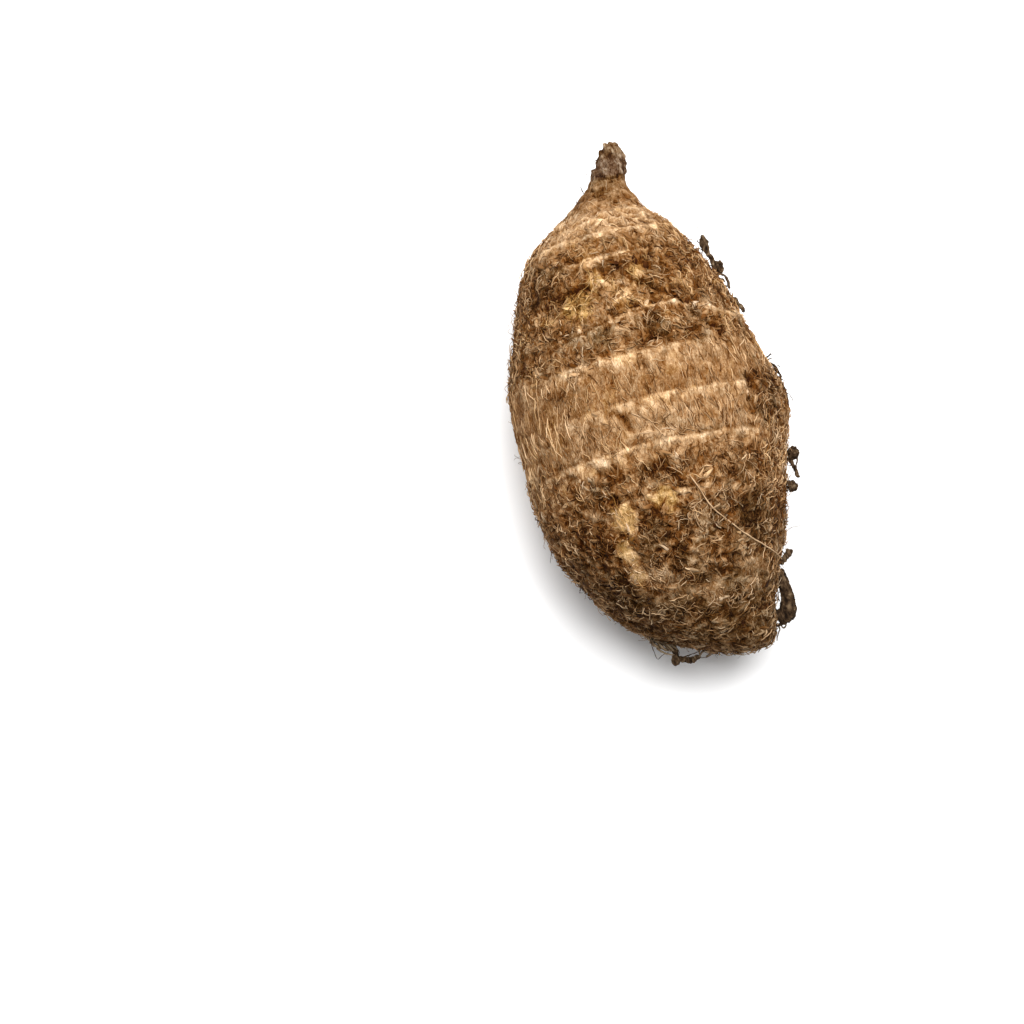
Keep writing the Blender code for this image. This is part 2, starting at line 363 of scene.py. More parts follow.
def copy_of_node(name, node, levels):
    """A new object with a frame node's shape, merged, turned to quads and subdivided smooth."""
    thing = bpy.data.objects.new(name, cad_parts[node].data.copy())
    bpy.context.scene.collection.objects.link(thing)
    thing.data.materials.clear()
    select_only(thing)
    bpy.ops.object.mode_set(mode="EDIT")
    bpy.ops.mesh.select_all(action="SELECT")
    bpy.ops.mesh.customdata_custom_splitnormals_clear()
    bpy.ops.mesh.remove_doubles(threshold=0.002 * MM)
    bpy.ops.mesh.tris_convert_to_quads(face_threshold=math.pi, shape_threshold=math.pi)
    bpy.ops.object.mode_set(mode="OBJECT")
    apply_modifier(thing, "SUBSURF", levels=levels, render_levels=levels)
    thing.data.shade_smooth()
    return thing


def points_of(thing):
    """The object's vertices and their normals, in mm."""
    count = len(thing.data.vertices)
    places = np.empty(count * 3)
    normals = np.empty(count * 3)
    thing.data.vertices.foreach_get("co", places)
    thing.data.vertices.foreach_get("normal", normals)
    return places.reshape(-1, 3) / MM, normals.reshape(-1, 3)


def move_points(thing, places):
    """Sets the vertices, given in mm. Nothing goes below the surface that the corm lies on."""
    places = places.copy()
    places[:, 2] = np.maximum(places[:, 2], LOWEST)
    thing.data.vertices.foreach_set("co", (places * MM).ravel())
    thing.data.update()


def store(thing, name, values):
    """Keeps one number for each vertex under this name, for the material to read."""
    layer = thing.data.attributes.new(name, "FLOAT", "POINT")
    layer.data.foreach_set("value", values.astype(np.float32))


print("frame pieces to cover:", sorted(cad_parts))

# %% [markdown]
# ## The skin
# Under its fibres the corm has a thin corky skin, with a low ridge at each leaf scar, lumps of felt
# with gaps between them, and a knobbly dried stub. The frame's corm is a cage of about 3,000
# triangles. A copy of it is turned to quads, which subdivide more evenly, and subdivided three times
# to a mesh half a millimetre fine. Each vertex is then moved along its normal by the relief worked
# out above. The same numbers are stored on the vertices, so that the colour and the relief of a ring
# always fall together.

# %% Make the skin
skin = copy_of_node("skin", "corm", 3)
smooth_places, smooth_normals = points_of(skin)
skin_faces = [tuple(face.vertices) for face in skin.data.polygons]
skin_tree = BVHTree.FromPolygons([Vector(p) for p in smooth_places], skin_faces)
skin_tone, skin_hue, skin_matting, skin_relief, _ = skin_at(smooth_places)
STUB_FROM = 51.0  # where the withered stub begins, mm along
STUB_TIP = (54.6, 56.6)  # where its paler tip begins and where it is fully so, mm along
# Knobs on the stub: (x, y, z, height, reach), mm
KNOBS = (
    (5.7, 58.6, 22.5, 0.9, 0.65),
    (6.8, 59.4, 22.4, 0.4, 0.60),
    (7.8, 58.8, 22.4, 0.7, 0.65),
    (4.1, 57.8, 22.6, 0.9, 0.60),
    (1.2, 53.8, 22.8, 0.8, 0.60),
    (9.1, 55.4, 22.0, 0.4, 0.80),
    (9.1, 53.5, 22.0, 0.4, 0.80),
    (5.5, 57.3, 24.0, 0.4, 1.30),
)
on_stub = step(STUB_FROM - 0.4, STUB_FROM + 0.8, smooth_places[:, 1])
creases = np.abs(hills(smooth_places, (1.2, 2.6, 1.2), 2.0))
clots = hills(smooth_places, (1.3, 1.6, 1.3), 6.0)
stub_relief = 0.7 * creases - 0.25 + 0.55 * clots
for x, y, z, height, reach in KNOBS:
    away = np.linalg.norm(smooth_places - np.array((x, y, z)), axis=1)
    stub_relief += height * falloff(away, reach)
skin_relief = skin_relief * (1 - on_stub) + stub_relief * on_stub
at_tip = step(*STUB_TIP, smooth_places[:, 1])
skin_tone = skin_tone + on_stub * (0.20 * creases + 0.12 * clots - 0.05 + 0.06 * at_tip)
# A hue below 0 is the stub's plum brown, which fades towards its tip.
skin_hue = skin_hue * (1 - on_stub) - on_stub * (0.46 - 0.28 * at_tip)
move_points(skin, smooth_places + smooth_normals * skin_relief[:, None])
for name, values in (("tone", skin_tone), ("hue", skin_hue), ("matting", skin_matting)):
    store(skin, name, values)
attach(skin, "root")
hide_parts("corm")
print("skin:", len(skin.data.polygons), "faces")

# %% [markdown]
# ## Shader maths in Python
# A material is a tree of small nodes, and even a short formula takes many of them. This class wraps
# one output of a node, so that a formula can be written as one: each operator adds a Math node.

# %% A material's tree
class Out:
    """One output of a shader node."""

    def __init__(self, tree, socket):
        self.tree = tree
        self.socket = socket

    def maths(self, operation, first, second, clamp=False):
        settings = {"operation": operation, "use_clamp": clamp}
        return self.tree.node("ShaderNodeMath", settings, {0: first, 1: second})

    def __add__(self, other):
        return self.maths("ADD", self, other)

    def __sub__(self, other):
        return self.maths("SUBTRACT", self, other)

    def __rsub__(self, other):
        return self.maths("SUBTRACT", other, self)

    def __mul__(self, other):
        return self.maths("MULTIPLY", self, other)

    def clamped(self):
        return self.maths("ADD", self, 0.0, clamp=True)

    def absolute(self):
        return self.maths("ABSOLUTE", self, 0.0)

    __radd__ = __add__
    __rmul__ = __mul__


class Tree:
    """The nodes of one material."""

    def __init__(self, name, constants):
        self.material = bpy.data.materials.new(name)
        self.material.use_nodes = True
        self.shader = self.material.node_tree.nodes["Principled BSDF"]
        for socket, value in constants.items():
            self.shader.inputs[socket].default_value = value

    def node(self, kind, settings, inputs, output=0):
        """Adds a node: first its settings (stops for a ramp), then its inputs, as values or links."""
        made = self.material.node_tree.nodes.new(kind)
        for name, value in settings.items():
            if name == "stops":
                self.set_stops(made.color_ramp.elements, value)
            else:
                setattr(made, name, value)
        for name, value in inputs.items():
            self.feed(made.inputs[name], value)
        return Out(self, made.outputs[output])

    def set_stops(self, elements, stops):
        while len(elements) < len(stops):
            elements.new(1.0)
        for element, (position, colour) in zip(elements, stops):
            element.position = position
            element.color = colour

    def feed(self, socket, value):
        if isinstance(value, Out):
            self.material.node_tree.links.new(value.socket, socket)
        else:
            socket.default_value = value

    def mix(self, factor, first, second):
        """Two colours mixed."""
        return self.node("ShaderNodeMix", {"data_type": "RGBA"}, {0: factor, 6: first, 7: second}, output=2)

    def ramp(self, stops, tone):
        return self.node("ShaderNodeValToRGB", {"stops": stops}, {"Fac": tone})

    def first_two(self, vector):
        """The X and the Y of a vector, or the red and the green of a colour."""
        return [self.node("ShaderNodeSeparateXYZ", {}, {0: vector}, axis) for axis in ("X", "Y")]

    def attribute(self, name):
        return self.node("ShaderNodeAttribute", {"attribute_name": name}, {}, output="Fac")

    def place(self, scale=(1.0, 1.0, 1.0)):
        """Object coordinates in mm, stretched by scale."""
        where = self.node("ShaderNodeTexCoord", {}, {}, output="Object")
        return self.node("ShaderNodeMapping", {}, {"Vector": where, "Scale": [s / MM for s in scale]})

    def noise(self, vector, scale, detail=2.0, roughness=0.5, distortion=0.0):
        inputs = {"Vector": vector, "Scale": scale, "Detail": detail, "Roughness": roughness}
        return self.node("ShaderNodeTexNoise", {}, {**inputs, "Distortion": distortion}, output="Fac")

    def finished(self, base_colour, height=None, strength=1.0, depth=0.0):
        """The material, with its colour and, for a rough surface, a relief of this depth in mm."""
        self.feed(self.shader.inputs["Base Color"], base_colour)
        if height is not None:
            inputs = {"Strength": strength, "Distance": depth * MM, "Height": height}
            self.feed(self.shader.inputs["Normal"], self.node("ShaderNodeBump", {}, inputs, "Normal"))
        return self.material


def colour(red, green, blue):
    """A screen colour, 0 to 255, as the linear numbers that Blender mixes."""
    parts = [c / 255 for c in (red, green, blue)]
    return (*[c / 12.92 if c < 0.04045 else ((c + 0.055) / 1.055) ** 2.4 for c in parts], 1.0)


# %% [markdown]
# ## The husk's colours
# All the husk is one material in different states of weathering, from almost black-brown in the felt
# to cream where a scar is fresh. One ramp therefore colours everything, by tone. It comes in three
# hues for the husk, which are purplish and dusty, plain brown, and golden, and in a plum brown for
# the dried stub. The fibres read tone and hue from a UV map, U and V, so the whole map is a colour
# chart, and each fibre is just a small spot on it. Roots and soil have a darker ramp of their own.

# %% The colour ramps
def ramp_stops(places, *colours):
    """The stops of a ramp: screen colours at these places from 0 to 1."""
    return [(place, colour(*each)) for place, each in zip(places, colours)]


TONES = (0.0, 0.2, 0.4, 0.6, 0.8, 1.0)
DUSTY = ramp_stops(TONES, (36, 14, 0), (81, 52, 19), (118, 92, 62), (156, 132, 103), (198, 172, 143),
                   (233, 212, 184))
PLAIN = ramp_stops(TONES, (44, 15, 0), (95, 53, 11), (132, 93, 55), (170, 133, 94), (210, 173, 131),
                   (241, 213, 173))
GOLDEN = ramp_stops(TONES, (44, 17, 0), (92, 53, 4), (131, 93, 43), (170, 133, 80), (211, 172, 119),
                    (242, 212, 163))
PLUM = ramp_stops(TONES, (40, 20, 8), (80, 54, 34), (114, 93, 74), (154, 134, 114), (194, 174, 152),
                  (228, 210, 190))
BARK = ramp_stops((0.0, 0.3, 0.55, 0.8, 1.0), (24, 15, 8), (62, 46, 31), (98, 80, 60), (142, 124, 100),
                  (204, 188, 160))


def husk_colour(tree, tone, hue):
    dusty, plain, golden = [tree.ramp(kind, tone) for kind in (DUSTY, PLAIN, GOLDEN)]
    return tree.mix((hue * 2 - 1).clamped(), tree.mix((hue * 2).clamped(), dusty, plain), golden)


def bark_colour(tree, tone, _):
    return tree.ramp(BARK, tone)


print("palest husk, linear:", np.round(PLAIN[-1][1][:3], 2))

# %% [markdown]
# ## The felt
# Between the threads that are modelled one by one lies a felt of finer ones. It is drawn by the
# material. Where a smooth noise crosses its middle value is a thin winding line, like a hair, so a
# few such noises give a mesh of hairs. They are stretched along the corm where the fibres lie
# straight, and pale ones stand over dark lines of painted shadow, in place of the shadows hairs cast.

# %% The skin's material
def hair_lines(tree, where, scale, width):
    """Thin winding lines: 1 on a line, 0 between them."""
    field = tree.noise(where, scale, detail=1.0, roughness=0.4, distortion=0.5)
    return (1 - ((field - 0.5) * (1 / width)).absolute()).clamped()


def bits(tree, grain, scale, above, distortion):
    """Scattered bits: 1 where a noise is well above this value, 0 below it."""
    field = tree.noise(tree.place(grain), scale, 2.0, 0.5, distortion)
    return ((field - above) * 12).clamped()


def flakes(tree):
    """Flakes about a millimetre across: two numbers for each, the same all over it."""
    bent = tree.node("ShaderNodeTexNoise", {}, {"Vector": tree.place(), "Scale": 0.9, "Detail": 2.0}, "Color")
    shifted = tree.node("ShaderNodeVectorMath", {"operation": "MULTIPLY_ADD"},
                        {0: bent, 1: (1.3, 1.3, 1.3), 2: tree.place((1.0, 0.8, 1.0))})
    cells = tree.node("ShaderNodeTexVoronoi", {}, {"Vector": shifted, "Scale": 0.95}, "Color")
    return tree.first_two(cells)


def make_skin_material():
    tree = Tree("corky_skin", {"Roughness": 0.85, "Specular IOR Level": 0.06})
    along, round_about = tree.place((1.0, 0.28, 1.0)), tree.place((1.0, 0.8, 1.0))
    tone, hue, matting = [tree.attribute(name) for name in ("tone", "hue", "matting")]
    straight = hair_lines(tree, along, 1.3, 0.05) + hair_lines(tree, along, 2.3, 0.06) * 0.8
    curly = hair_lines(tree, round_about, 0.9, 0.045) + hair_lines(tree, round_about, 1.6, 0.05) * 0.8
    hairs = straight + (curly - straight) * matting
    # Dark winding lines: painted shadow, in place of the shadows that the hairs cast on the skin.
    thread_shadow_lines = hair_lines(tree, along, 1.0, 0.07)
    streaks = tree.noise(along, 2.6, 3.0, 0.6, 0.4)
    specks = tree.noise(tree.place(), 1.5, 4.0, 0.7, 0.6)
    flake, tint = flakes(tree)
    dark_bits = bits(tree, (1.0, 0.6, 1.0), 1.7, 0.58, 1.0)
    pale_bits = bits(tree, (1.0, 0.7, 1.0), 2.0, 0.60, 1.5)
    tone = tone + (streaks - 0.5) * 0.28 + (specks - 0.5) * (0.20 * matting + 0.30)
    tone = tone + (flake - 0.5) * (0.16 * matting + 0.10)
    tone = (tone + hairs * 0.14 - thread_shadow_lines * 0.12 - dark_bits * 0.16 + pale_bits * 0.14).clamped()
    warmth = hue + (tree.noise(tree.place(), 0.9, 2.0) - 0.5) * 0.3 + (tint - 0.5) * 0.2
    husk = husk_colour(tree, tone, warmth.clamped())
    height = streaks * 0.6 + specks * 0.7 + hairs * 0.30 - thread_shadow_lines * 0.25
    return tree.finished(tree.mix((hue * -2).clamped(), husk, tree.ramp(PLUM, tone)), height, 1.0, 0.30)


def make_fibre_material(name, colouring):
    tree = Tree(name, {"Roughness": 0.75, "Specular IOR Level": 0.08})
    tone, hue = tree.first_two(tree.node("ShaderNodeUVMap", {"uv_map": "OFBake"}, {}))
    return tree.finished(colouring(tree, tone, hue))


skin.data.materials.append(make_skin_material())
fibre_material = make_fibre_material("husk_fibre", husk_colour)
rootlet_material = make_fibre_material("rootlet_bark", bark_colour)
print("materials:", skin.data.materials[0].name, fibre_material.name)

# %% [markdown]
# ## A thread and a shred, bent thousands of ways
# A sheath fibre is a stiff thread about 0.2 mm thick and a few millimetres long, and the rotted
# sheath between the fibres is left as thin papery shreds. Both are modelled straight, with their
# points on a few levels, and then copied along paths that follow the skin. The thread comes in three
# kinds, with more levels the more it has to bend. Hair particles would be quicker to make, but they
# aren't a mesh, so they would be lost from the exported model. Three sides are enough for a thread,
# because at 0.2 mm nobody can tell that it isn't round.

# %% Model the templates
def template_of(thing, name, levels):
    """The points and faces of a template that lies along Z from 0 to 1, which is then removed."""
    points = np.array([v.co for v in thing.data.vertices])
    faces = [tuple(face.vertices) for face in thing.data.polygons]
    bpy.data.objects.remove(thing)
    print(f"{name}: {len(points)} points, {len(faces)} faces, {levels} levels")
    return {"at": points, "faces": faces, "levels": levels}


def cut_across(thing, cuts, normal):
    """Cuts all of the object with planes at these places along the normal."""
    select_only(thing)
    bpy.ops.object.mode_set(mode="EDIT")
    for cut in cuts:
        bpy.ops.mesh.select_all(action="SELECT")
        bpy.ops.mesh.bisect(plane_co=[cut * part for part in normal], plane_no=normal)
    bpy.ops.object.mode_set(mode="OBJECT")


def cut_into_levels(thing, rings):
    """Gives the object this many rings of points, evenly up its height."""
    cut_across(thing, [cut / (rings - 1) for cut in range(1, rings - 1)], (0.0, 0.0, 1.0))


def make_thread(name, rings):
    """A rod of three sides with pointed ends. Its ends are the first and last level."""
    bpy.ops.object.select_all(action="DESELECT")
    bpy.ops.mesh.primitive_cylinder_add(vertices=3, radius=1.0, depth=1.0, end_fill_type="TRIFAN",
                                        location=(0.0, 0.0, 0.5))
    rod = bpy.context.object
    bpy.ops.object.transform_apply(location=True, rotation=False, scale=False)
    cut_into_levels(rod, rings)
    made = template_of(rod, name, rings + 2)
    side, up, height = made.pop("at").T
    level = np.round(height * (rings - 1)).astype(int) + 1
    centre = np.hypot(side, up) < 0.01
    level[centre] = np.where(height[centre] < 0.5, 0, rings + 1)
    return {**made, "side": side, "up": up, "level": level}


def make_shred(name, rings):
    """A flat strip, a unit wide to each side and one thick, with points along its middle too."""
    bpy.ops.object.select_all(action="DESELECT")
    bpy.ops.mesh.primitive_cube_add(size=1.0, location=(0.0, 0.5, 0.5), scale=(2.0, 1.0, 1.0))
    strip = bpy.context.object
    bpy.ops.object.transform_apply(location=True, rotation=False, scale=True)
    cut_into_levels(strip, rings)
    cut_across(strip, [0.0], (1.0, 0.0, 0.0))
    made = template_of(strip, name, rings)
    side, up, height = made.pop("at").T
    return {**made, "side": side, "up": up, "level": np.round(height * (rings - 1)).astype(int)}


THREAD = make_thread("thread", 4)
CURL = make_thread("curl", 9)
STRAND = make_thread("strand", 24)
SHRED = make_shred("shred", 4)

# %% [markdown]
# ## Paths on the skin
# A path starts somewhere on the smooth skin and takes a few equal steps. After each step it is put
# back on the skin and turned a little, so it hugs the corm however it wanders. The relief and a lift
# are added at the end, so threads bridge the pits instead of filling them. Real fibres lie in locks,
# so starts are scattered in groups that share a heading and a colour.

# %% Scatter places and trace paths
corners = [smooth_places[[face[i] for face in skin_faces]] for i in (0, 1, 2, -1)]
face_areas = np.linalg.norm(np.cross(corners[2] - corners[0], corners[3] - corners[1]), axis=1)
face_facing = np.array([skin.data.vertices[face[0]].normal.z for face in skin_faces])
UNDERSIDE_SHARE = 0.6  # how dense the coat is under the corm, where its own weight presses it flat
face_share = face_areas * np.where(face_facing < -0.5, UNDERSIDE_SHARE, 1.0)


def scatter(count):
    """This many places spread over the skin, thinner on its underside, in mm."""
    picked = rng.choice(len(face_share), count, p=face_share / face_share.sum())
    a, b = rng.random((2, count, 1))
    low = corners[0][picked] * (1 - a) + corners[1][picked] * a
    high = corners[3][picked] * (1 - a) + corners[2][picked] * a
    return low * (1 - b) + high * b


def nearest_skin(points):
    found = [skin_tree.find_nearest(Vector(p)) for p in points]
    return np.array([f[0] for f in found]), np.array([f[1] for f in found])


def on_skin(along, degrees):
    """The place on the smooth skin this far along the corm and at this angle round it, in mm."""
    middle = Vector((np.interp(along, station_at, station_x), along, np.interp(along, station_at, station_z)))
    angle = math.radians(degrees)
    hit = skin_tree.ray_cast(middle, Vector((math.cos(angle), 0.0, math.sin(angle))))[0]
    return np.array(hit if hit is not None else middle)


def reach_of(levels):
    """How far along a path each of its levels is, from 0 to 1, as one row."""
    return np.linspace(0, 1, levels)[None, :]


def unit(vectors):
    return vectors / np.maximum(np.linalg.norm(vectors, axis=-1, keepdims=True), 1e-9)


def turned(headings, normals, degrees):
    """The headings, turned in the skin's plane."""
    angle = np.radians(degrees)[:, None]
    return headings * np.cos(angle) + np.cross(normals, headings) * np.sin(angle)


def trace(starts, degrees, lengths, levels, turns):
    """Paths along the skin. Degrees is each one's heading off the corm's length; turns is how far it
    turns at each step, in degrees, one row for each path."""
    here, normals = nearest_skin(starts)
    along = unit(np.array((0.0, 1.0, 0.0)) - normals * normals[:, 1:2])
    headings = turned(along, normals, degrees)
    places, outs = [here], [normals]
    for level in range(levels - 1):
        headings = turned(headings, normals, turns[:, level])
        here, normals = nearest_skin(here + headings * (lengths / (levels - 1))[:, None])
        headings = unit(headings - normals * np.sum(headings * normals, axis=1, keepdims=True))
        places.append(here)
        outs.append(normals)
    return np.stack(places, axis=1), np.stack(outs, axis=1)


def lifted(paths, outs, lifts, follow=0.5):
    """The paths, raised over the smooth skin by a part of its relief and by each one's own lift, and
    the tone and the scar of the skin at each of their levels."""
    tone, _, _, relief, scar = [part.reshape(lifts.shape) for part in skin_at(paths.reshape(-1, 3))]
    return paths + outs * (relief * follow + lifts)[:, :, None], tone, scar


print(f"skin to scatter over: {face_areas.sum() / 200:.0f} square cm")

# %% [markdown]
# ## Bending the copies
# The copies that are made together become one piece. Each point of a copy is moved to its level on
# its path, and this is worked out for all the copies at once, because a loop over each point would
# be slow.

# %% Bend copies of a template along paths
CHART_EDGE = 0.005  # no fibre's spot on the colour chart is nearer to its edge than this


def bend_copies(name, template, paths, outs, widths, tones, hues, thin=1.0, cup=0.0,
                material=fibre_material):
    """One piece made of a copy of the template for each path. Widths is the radius at each level of
    each copy, in mm, tones its tone at each level and hues its hue, thin its thickness over its width,
    and cup how far the sides of a strip stand up."""
    count, levels = paths.shape[:2]
    level, side, up = template["level"], template["side"], template["up"]
    tangents = unit(np.gradient(paths, axis=1))
    sides = unit(np.cross(tangents, outs))
    ups = np.cross(sides, tangents)
    wide = widths[:, level, None]
    across = side[None, :, None] * wide
    above = (up * thin + cup * side**2)[None, :, None] * wide
    points = paths[:, level] + sides[:, level] * across + ups[:, level] * above
    points[:, :, 2] = np.maximum(points[:, :, 2], LOWEST)
    corner = np.concatenate([np.array(face) for face in template["faces"]])
    sizes = np.array([len(face) for face in template["faces"]])
    mesh = bpy.data.meshes.new(name)
    mesh.vertices.add(count * len(level))
    mesh.vertices.foreach_set("co", (points * MM).ravel())
    mesh.loops.add(count * len(corner))
    mesh.polygons.add(count * len(sizes))
    offsets = np.arange(count)[:, None] * len(level)
    mesh.loops.foreach_set("vertex_index", (corner[None, :] + offsets).ravel().astype(np.int32))
    starts = np.concatenate([[0], np.cumsum(sizes)[:-1]])
    loop_starts = starts[None, :] + np.arange(count)[:, None] * len(corner)
    mesh.polygons.foreach_set("loop_start", loop_starts.ravel().astype(np.int32))
    mesh.polygons.foreach_set("use_smooth", np.ones(count * len(sizes), bool))
    mesh.update(calc_edges=True)
    chart = mesh.uv_layers.new(name="OFBake")
    # A face's corners are a little apart on the chart, so that it covers a spot and not just a point.
    tone = tones[:, level[corner]] + 0.002 * (up[corner] + level[corner])[None, :]
    hue = hues[:, None] + 0.004 * side[corner][None, :]
    spots = np.clip(np.stack([tone, hue], axis=-1), CHART_EDGE, 1 - CHART_EDGE)
    chart.data.foreach_set("uv", spots.reshape(-1).astype(np.float32))
    piece = bpy.data.objects.new(name, mesh)
    bpy.context.scene.collection.objects.link(piece)
    mesh.materials.append(material)
    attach(piece, "root")
    print(f"{name}: {count} copies, {int((sizes - 2).sum()) * count} triangles")


# %% [markdown]
# ## The husk's shreds
# Where the husk has rotted, scraps of the sheath still cling to it. They are thin and brown, a few
# millimetres long, and one end has come away. They lie under the threads, so they come first.

# %% Papery shreds
HUSK_TO = STUB_FROM - 1.0  # how far up the neck the husk goes, mm along


def shreds(name, count):
    starts = scatter(count * 3)
    _, hue, matting, _, _ = skin_at(starts)
    kept = np.flatnonzero((rng.random(len(starts)) < matting**2) & (starts[:, 1] < HUSK_TO))[:count]
    starts, hue, matting = starts[kept], hue[kept], matting[kept]
    count, levels = len(starts), SHRED["levels"]
    turns = rng.normal(0, 20, (count, levels - 1))
    paths, outs = trace(starts, rng.normal(0, 50, count), rng.uniform(1.0, 3.6, count), levels, turns)
    reach = reach_of(levels)
    lifts = -0.05 + rng.uniform(0.0, 0.5, (count, 1)) * reach**1.4
    paths, tone, _ = lifted(paths, outs, lifts, follow=0.8)
    ragged = np.array((0.25, 1.0, 0.8, 0.15)) * rng.uniform(0.6, 1.2, (count, levels))
    widths = rng.uniform(0.15, 0.55, (count, 1)) * ragged
    tones = 0.85 * tone + rng.normal(0.07, 0.13, (count, 1))
    hues = hue + rng.normal(-0.04, 0.10, count)
    bend_copies(name, SHRED, paths, outs, widths, tones, hues, thin=0.2, cup=0.25)


shreds("papery_shreds", 3000)

# %% [markdown]
# ## The husk's threads
# The threads of one sheath start at its scar and lie towards the neck. Where the husk is sound they
# are straight and even, and where it has rotted they are short, curled and tangled in all
# directions. The skin's matting decides which.

# %% The coat of threads
LOCK_SPREAD = 0.5  # how far the threads of a lock start from its middle, mm
BACKWARDS = 0.4  # the part of the locks that lie towards the base
BARE_SCAR = 0.09  # how strong a scar has to be to lie bare
OVER_SCARS = 0.10  # the part of the threads that may still cross one
WORN_OFF = 0.7  # the part of the threads that the neck has lost


def coat(name, count, template, longest, lock, across, kink, stand, contrast, pale, wide):
    """Threads over the whole corm in locks of about this many, straight or tangled as the skin is.
    Longest is the greatest length and stand about how high a tangled one rises, in mm. Across is how
    far they turn from the corm's length where they are tangled, kink how much they turn at each step,
    both in degrees. Pale is how much paler than the skin they are, contrast how much they differ in
    that, and wide the range of their radius in mm."""
    levels = template["levels"]
    locks = scatter(count // lock)
    locks = locks[locks[:, 1] < HUSK_TO + rng.random(len(locks))]
    member = rng.integers(0, len(locks), count)
    starts = locks[member] + rng.normal(0, LOCK_SPREAD, (count, 3))
    _, hue, matting, _, _ = [values[member] for values in skin_at(locks)]
    tangled = matting[:, None]
    lock_heading = rng.normal(0, 1, len(locks))[member]
    heading = (0.75 * lock_heading + 0.65 * rng.normal(0, 1, count)) * (5 + across * matting)
    heading += np.where(rng.random(len(locks))[member] < BACKWARDS, 180.0, 0.0)
    lengths = longest * rng.uniform(0.35, 1.0, count) * (1 - 0.35 * matting)
    curl = rng.normal(0, 2, (count, 1)) * (0.5 + tangled)
    kinks = rng.normal(0, kink, (count, levels - 1)) * (0.35 + 0.65 * tangled)
    kinks[:, 1:] -= 0.7 * kinks[:, :-1]  # a turn one way is mostly followed by a turn back
    paths, outs = trace(starts, heading, lengths, levels, curl + kinks)
    reach = reach_of(levels)
    tip = rng.random((count, 1)) ** 2 * (0.25 + 0.80 * tangled) * stand
    arch = rng.random((count, 1)) * (0.10 + 0.35 * tangled) * stand
    paths, tone, scar = lifted(paths, outs, 0.05 + tip * reach**1.5 + arch * np.sin(np.pi * reach))
    # The scars lie bare, so few threads cross one, and the felt shows where the skin is sound.
    kept = (scar.max(axis=1) < BARE_SCAR) | (rng.random(count) < OVER_SCARS)
    kept &= rng.random(count) < 0.55 + 0.45 * matting
    # The coat is worn thin on the neck, and the stub has none.
    kept &= rng.random(count) < 1.0 - WORN_OFF * step(*NECK_STARTS, starts[:, 1])
    kept &= paths[:, :, 1].max(axis=1) < STUB_FROM + 0.5
    own = pale + rng.normal(0.0, 1.0, count) * contrast * (0.6 + 0.4 * matting)
    tones = np.clip(0.75 * tone + 0.08 + own[:, None], 0.04, 0.84)
    taper = np.interp(np.linspace(0, 1, levels), (0.0, 0.3, 0.7, 1.0), (0.9, 1.0, 0.9, 0.6))
    widths = rng.uniform(*wide, (count, 1)) * taper
    bend_copies(name, template, paths[kept], outs[kept], widths[kept], tones[kept],
                (hue + 0.4 * pale + rng.normal(0.0, 0.06, count))[kept])


FINE, MIDDLING, COARSE = (0.07, 0.11), (0.08, 0.14), (0.10, 0.18)
# The numbers without a name are, in order: count, longest, lock, across, kink, stand.
coat("husk_threads_a", 4200, THREAD, 4.5, 4, 60, 22, 1.0, contrast=0.14, pale=0.0, wide=FINE)
coat("husk_threads_b", 4600, THREAD, 3.6, 3, 75, 26, 1.0, contrast=0.19, pale=0.0, wide=COARSE)
coat("husk_curls", 2300, CURL, 4.6, 1, 90, 34, 0.9, contrast=0.16, pale=0.10, wide=COARSE)
coat("pale_threads", 2800, CURL, 6.5, 2, 45, 26, 1.3, contrast=0.10, pale=0.27, wide=MIDDLING)
coat("dark_threads", 1000, CURL, 4.0, 1, 50, 26, 0.5, contrast=0.05, pale=-0.26, wide=MIDDLING)

# %% [markdown]
# ## Fibres that start at the rings
# The sheath's fibres were rooted in its scar, so a row of them still springs from each ring. Their
# feet are as pale as the ring, and they lie towards the neck.

# %% Rows of fibres along the rings
def ring_fibres(name, spacing):
    places, bright = [], []
    for along, brightness, width, _, _, _ in RINGS:
        around = 2 * math.pi * np.hypot(*(on_skin(along, 90.0) - on_skin(along, -90.0))[[0, 2]]) / 2
        for degrees in rng.uniform(-180, 180, int(around / spacing)):
            places.append(on_skin(along + rng.normal(-0.3, 0.4) * width, degrees))
            bright.append(brightness)
    starts, bright = np.array(places), np.array(bright)
    count, levels = len(starts), THREAD["levels"]
    _, hue, matting, _, _ = skin_at(starts)
    turns = rng.normal(0, 1, (count, levels - 1)) * (6 + 16 * matting[:, None])
    lengths = rng.uniform(0.8, 3.5, count) * (1 - 0.3 * matting)
    paths, outs = trace(starts, rng.normal(0, 14, count) * (1 + matting), lengths, levels, turns)
    reach = reach_of(levels)
    paths, tone, _ = lifted(paths, outs, 0.06 + rng.random((count, 1)) * 0.5 * reach)
    tones = 0.6 * tone + (0.22 + 0.3 * bright + rng.normal(0, 0.06, count))[:, None] - 0.10 * reach
    widths = rng.uniform(0.07, 0.14, (count, 1)) * np.linspace(1.3, 0.5, levels)
    bend_copies(name, THREAD, paths, outs, widths, tones, hue)


ring_fibres("ring_fibres", 2.2)

# %% [markdown]
# ## Withered roots and crumbs of soil
# The thin roots withered when the corm was lifted, and a few are left: dark, wrinkled along their
# length and kinked. Crumbs of dry soil still hang in them. The frame has each of these as a simple
# solid. A subdivided copy of it is wrinkled or pitted by smooth noise, so it keeps its place, and
# the bark or the soil is drawn by a noise on its object coordinates.

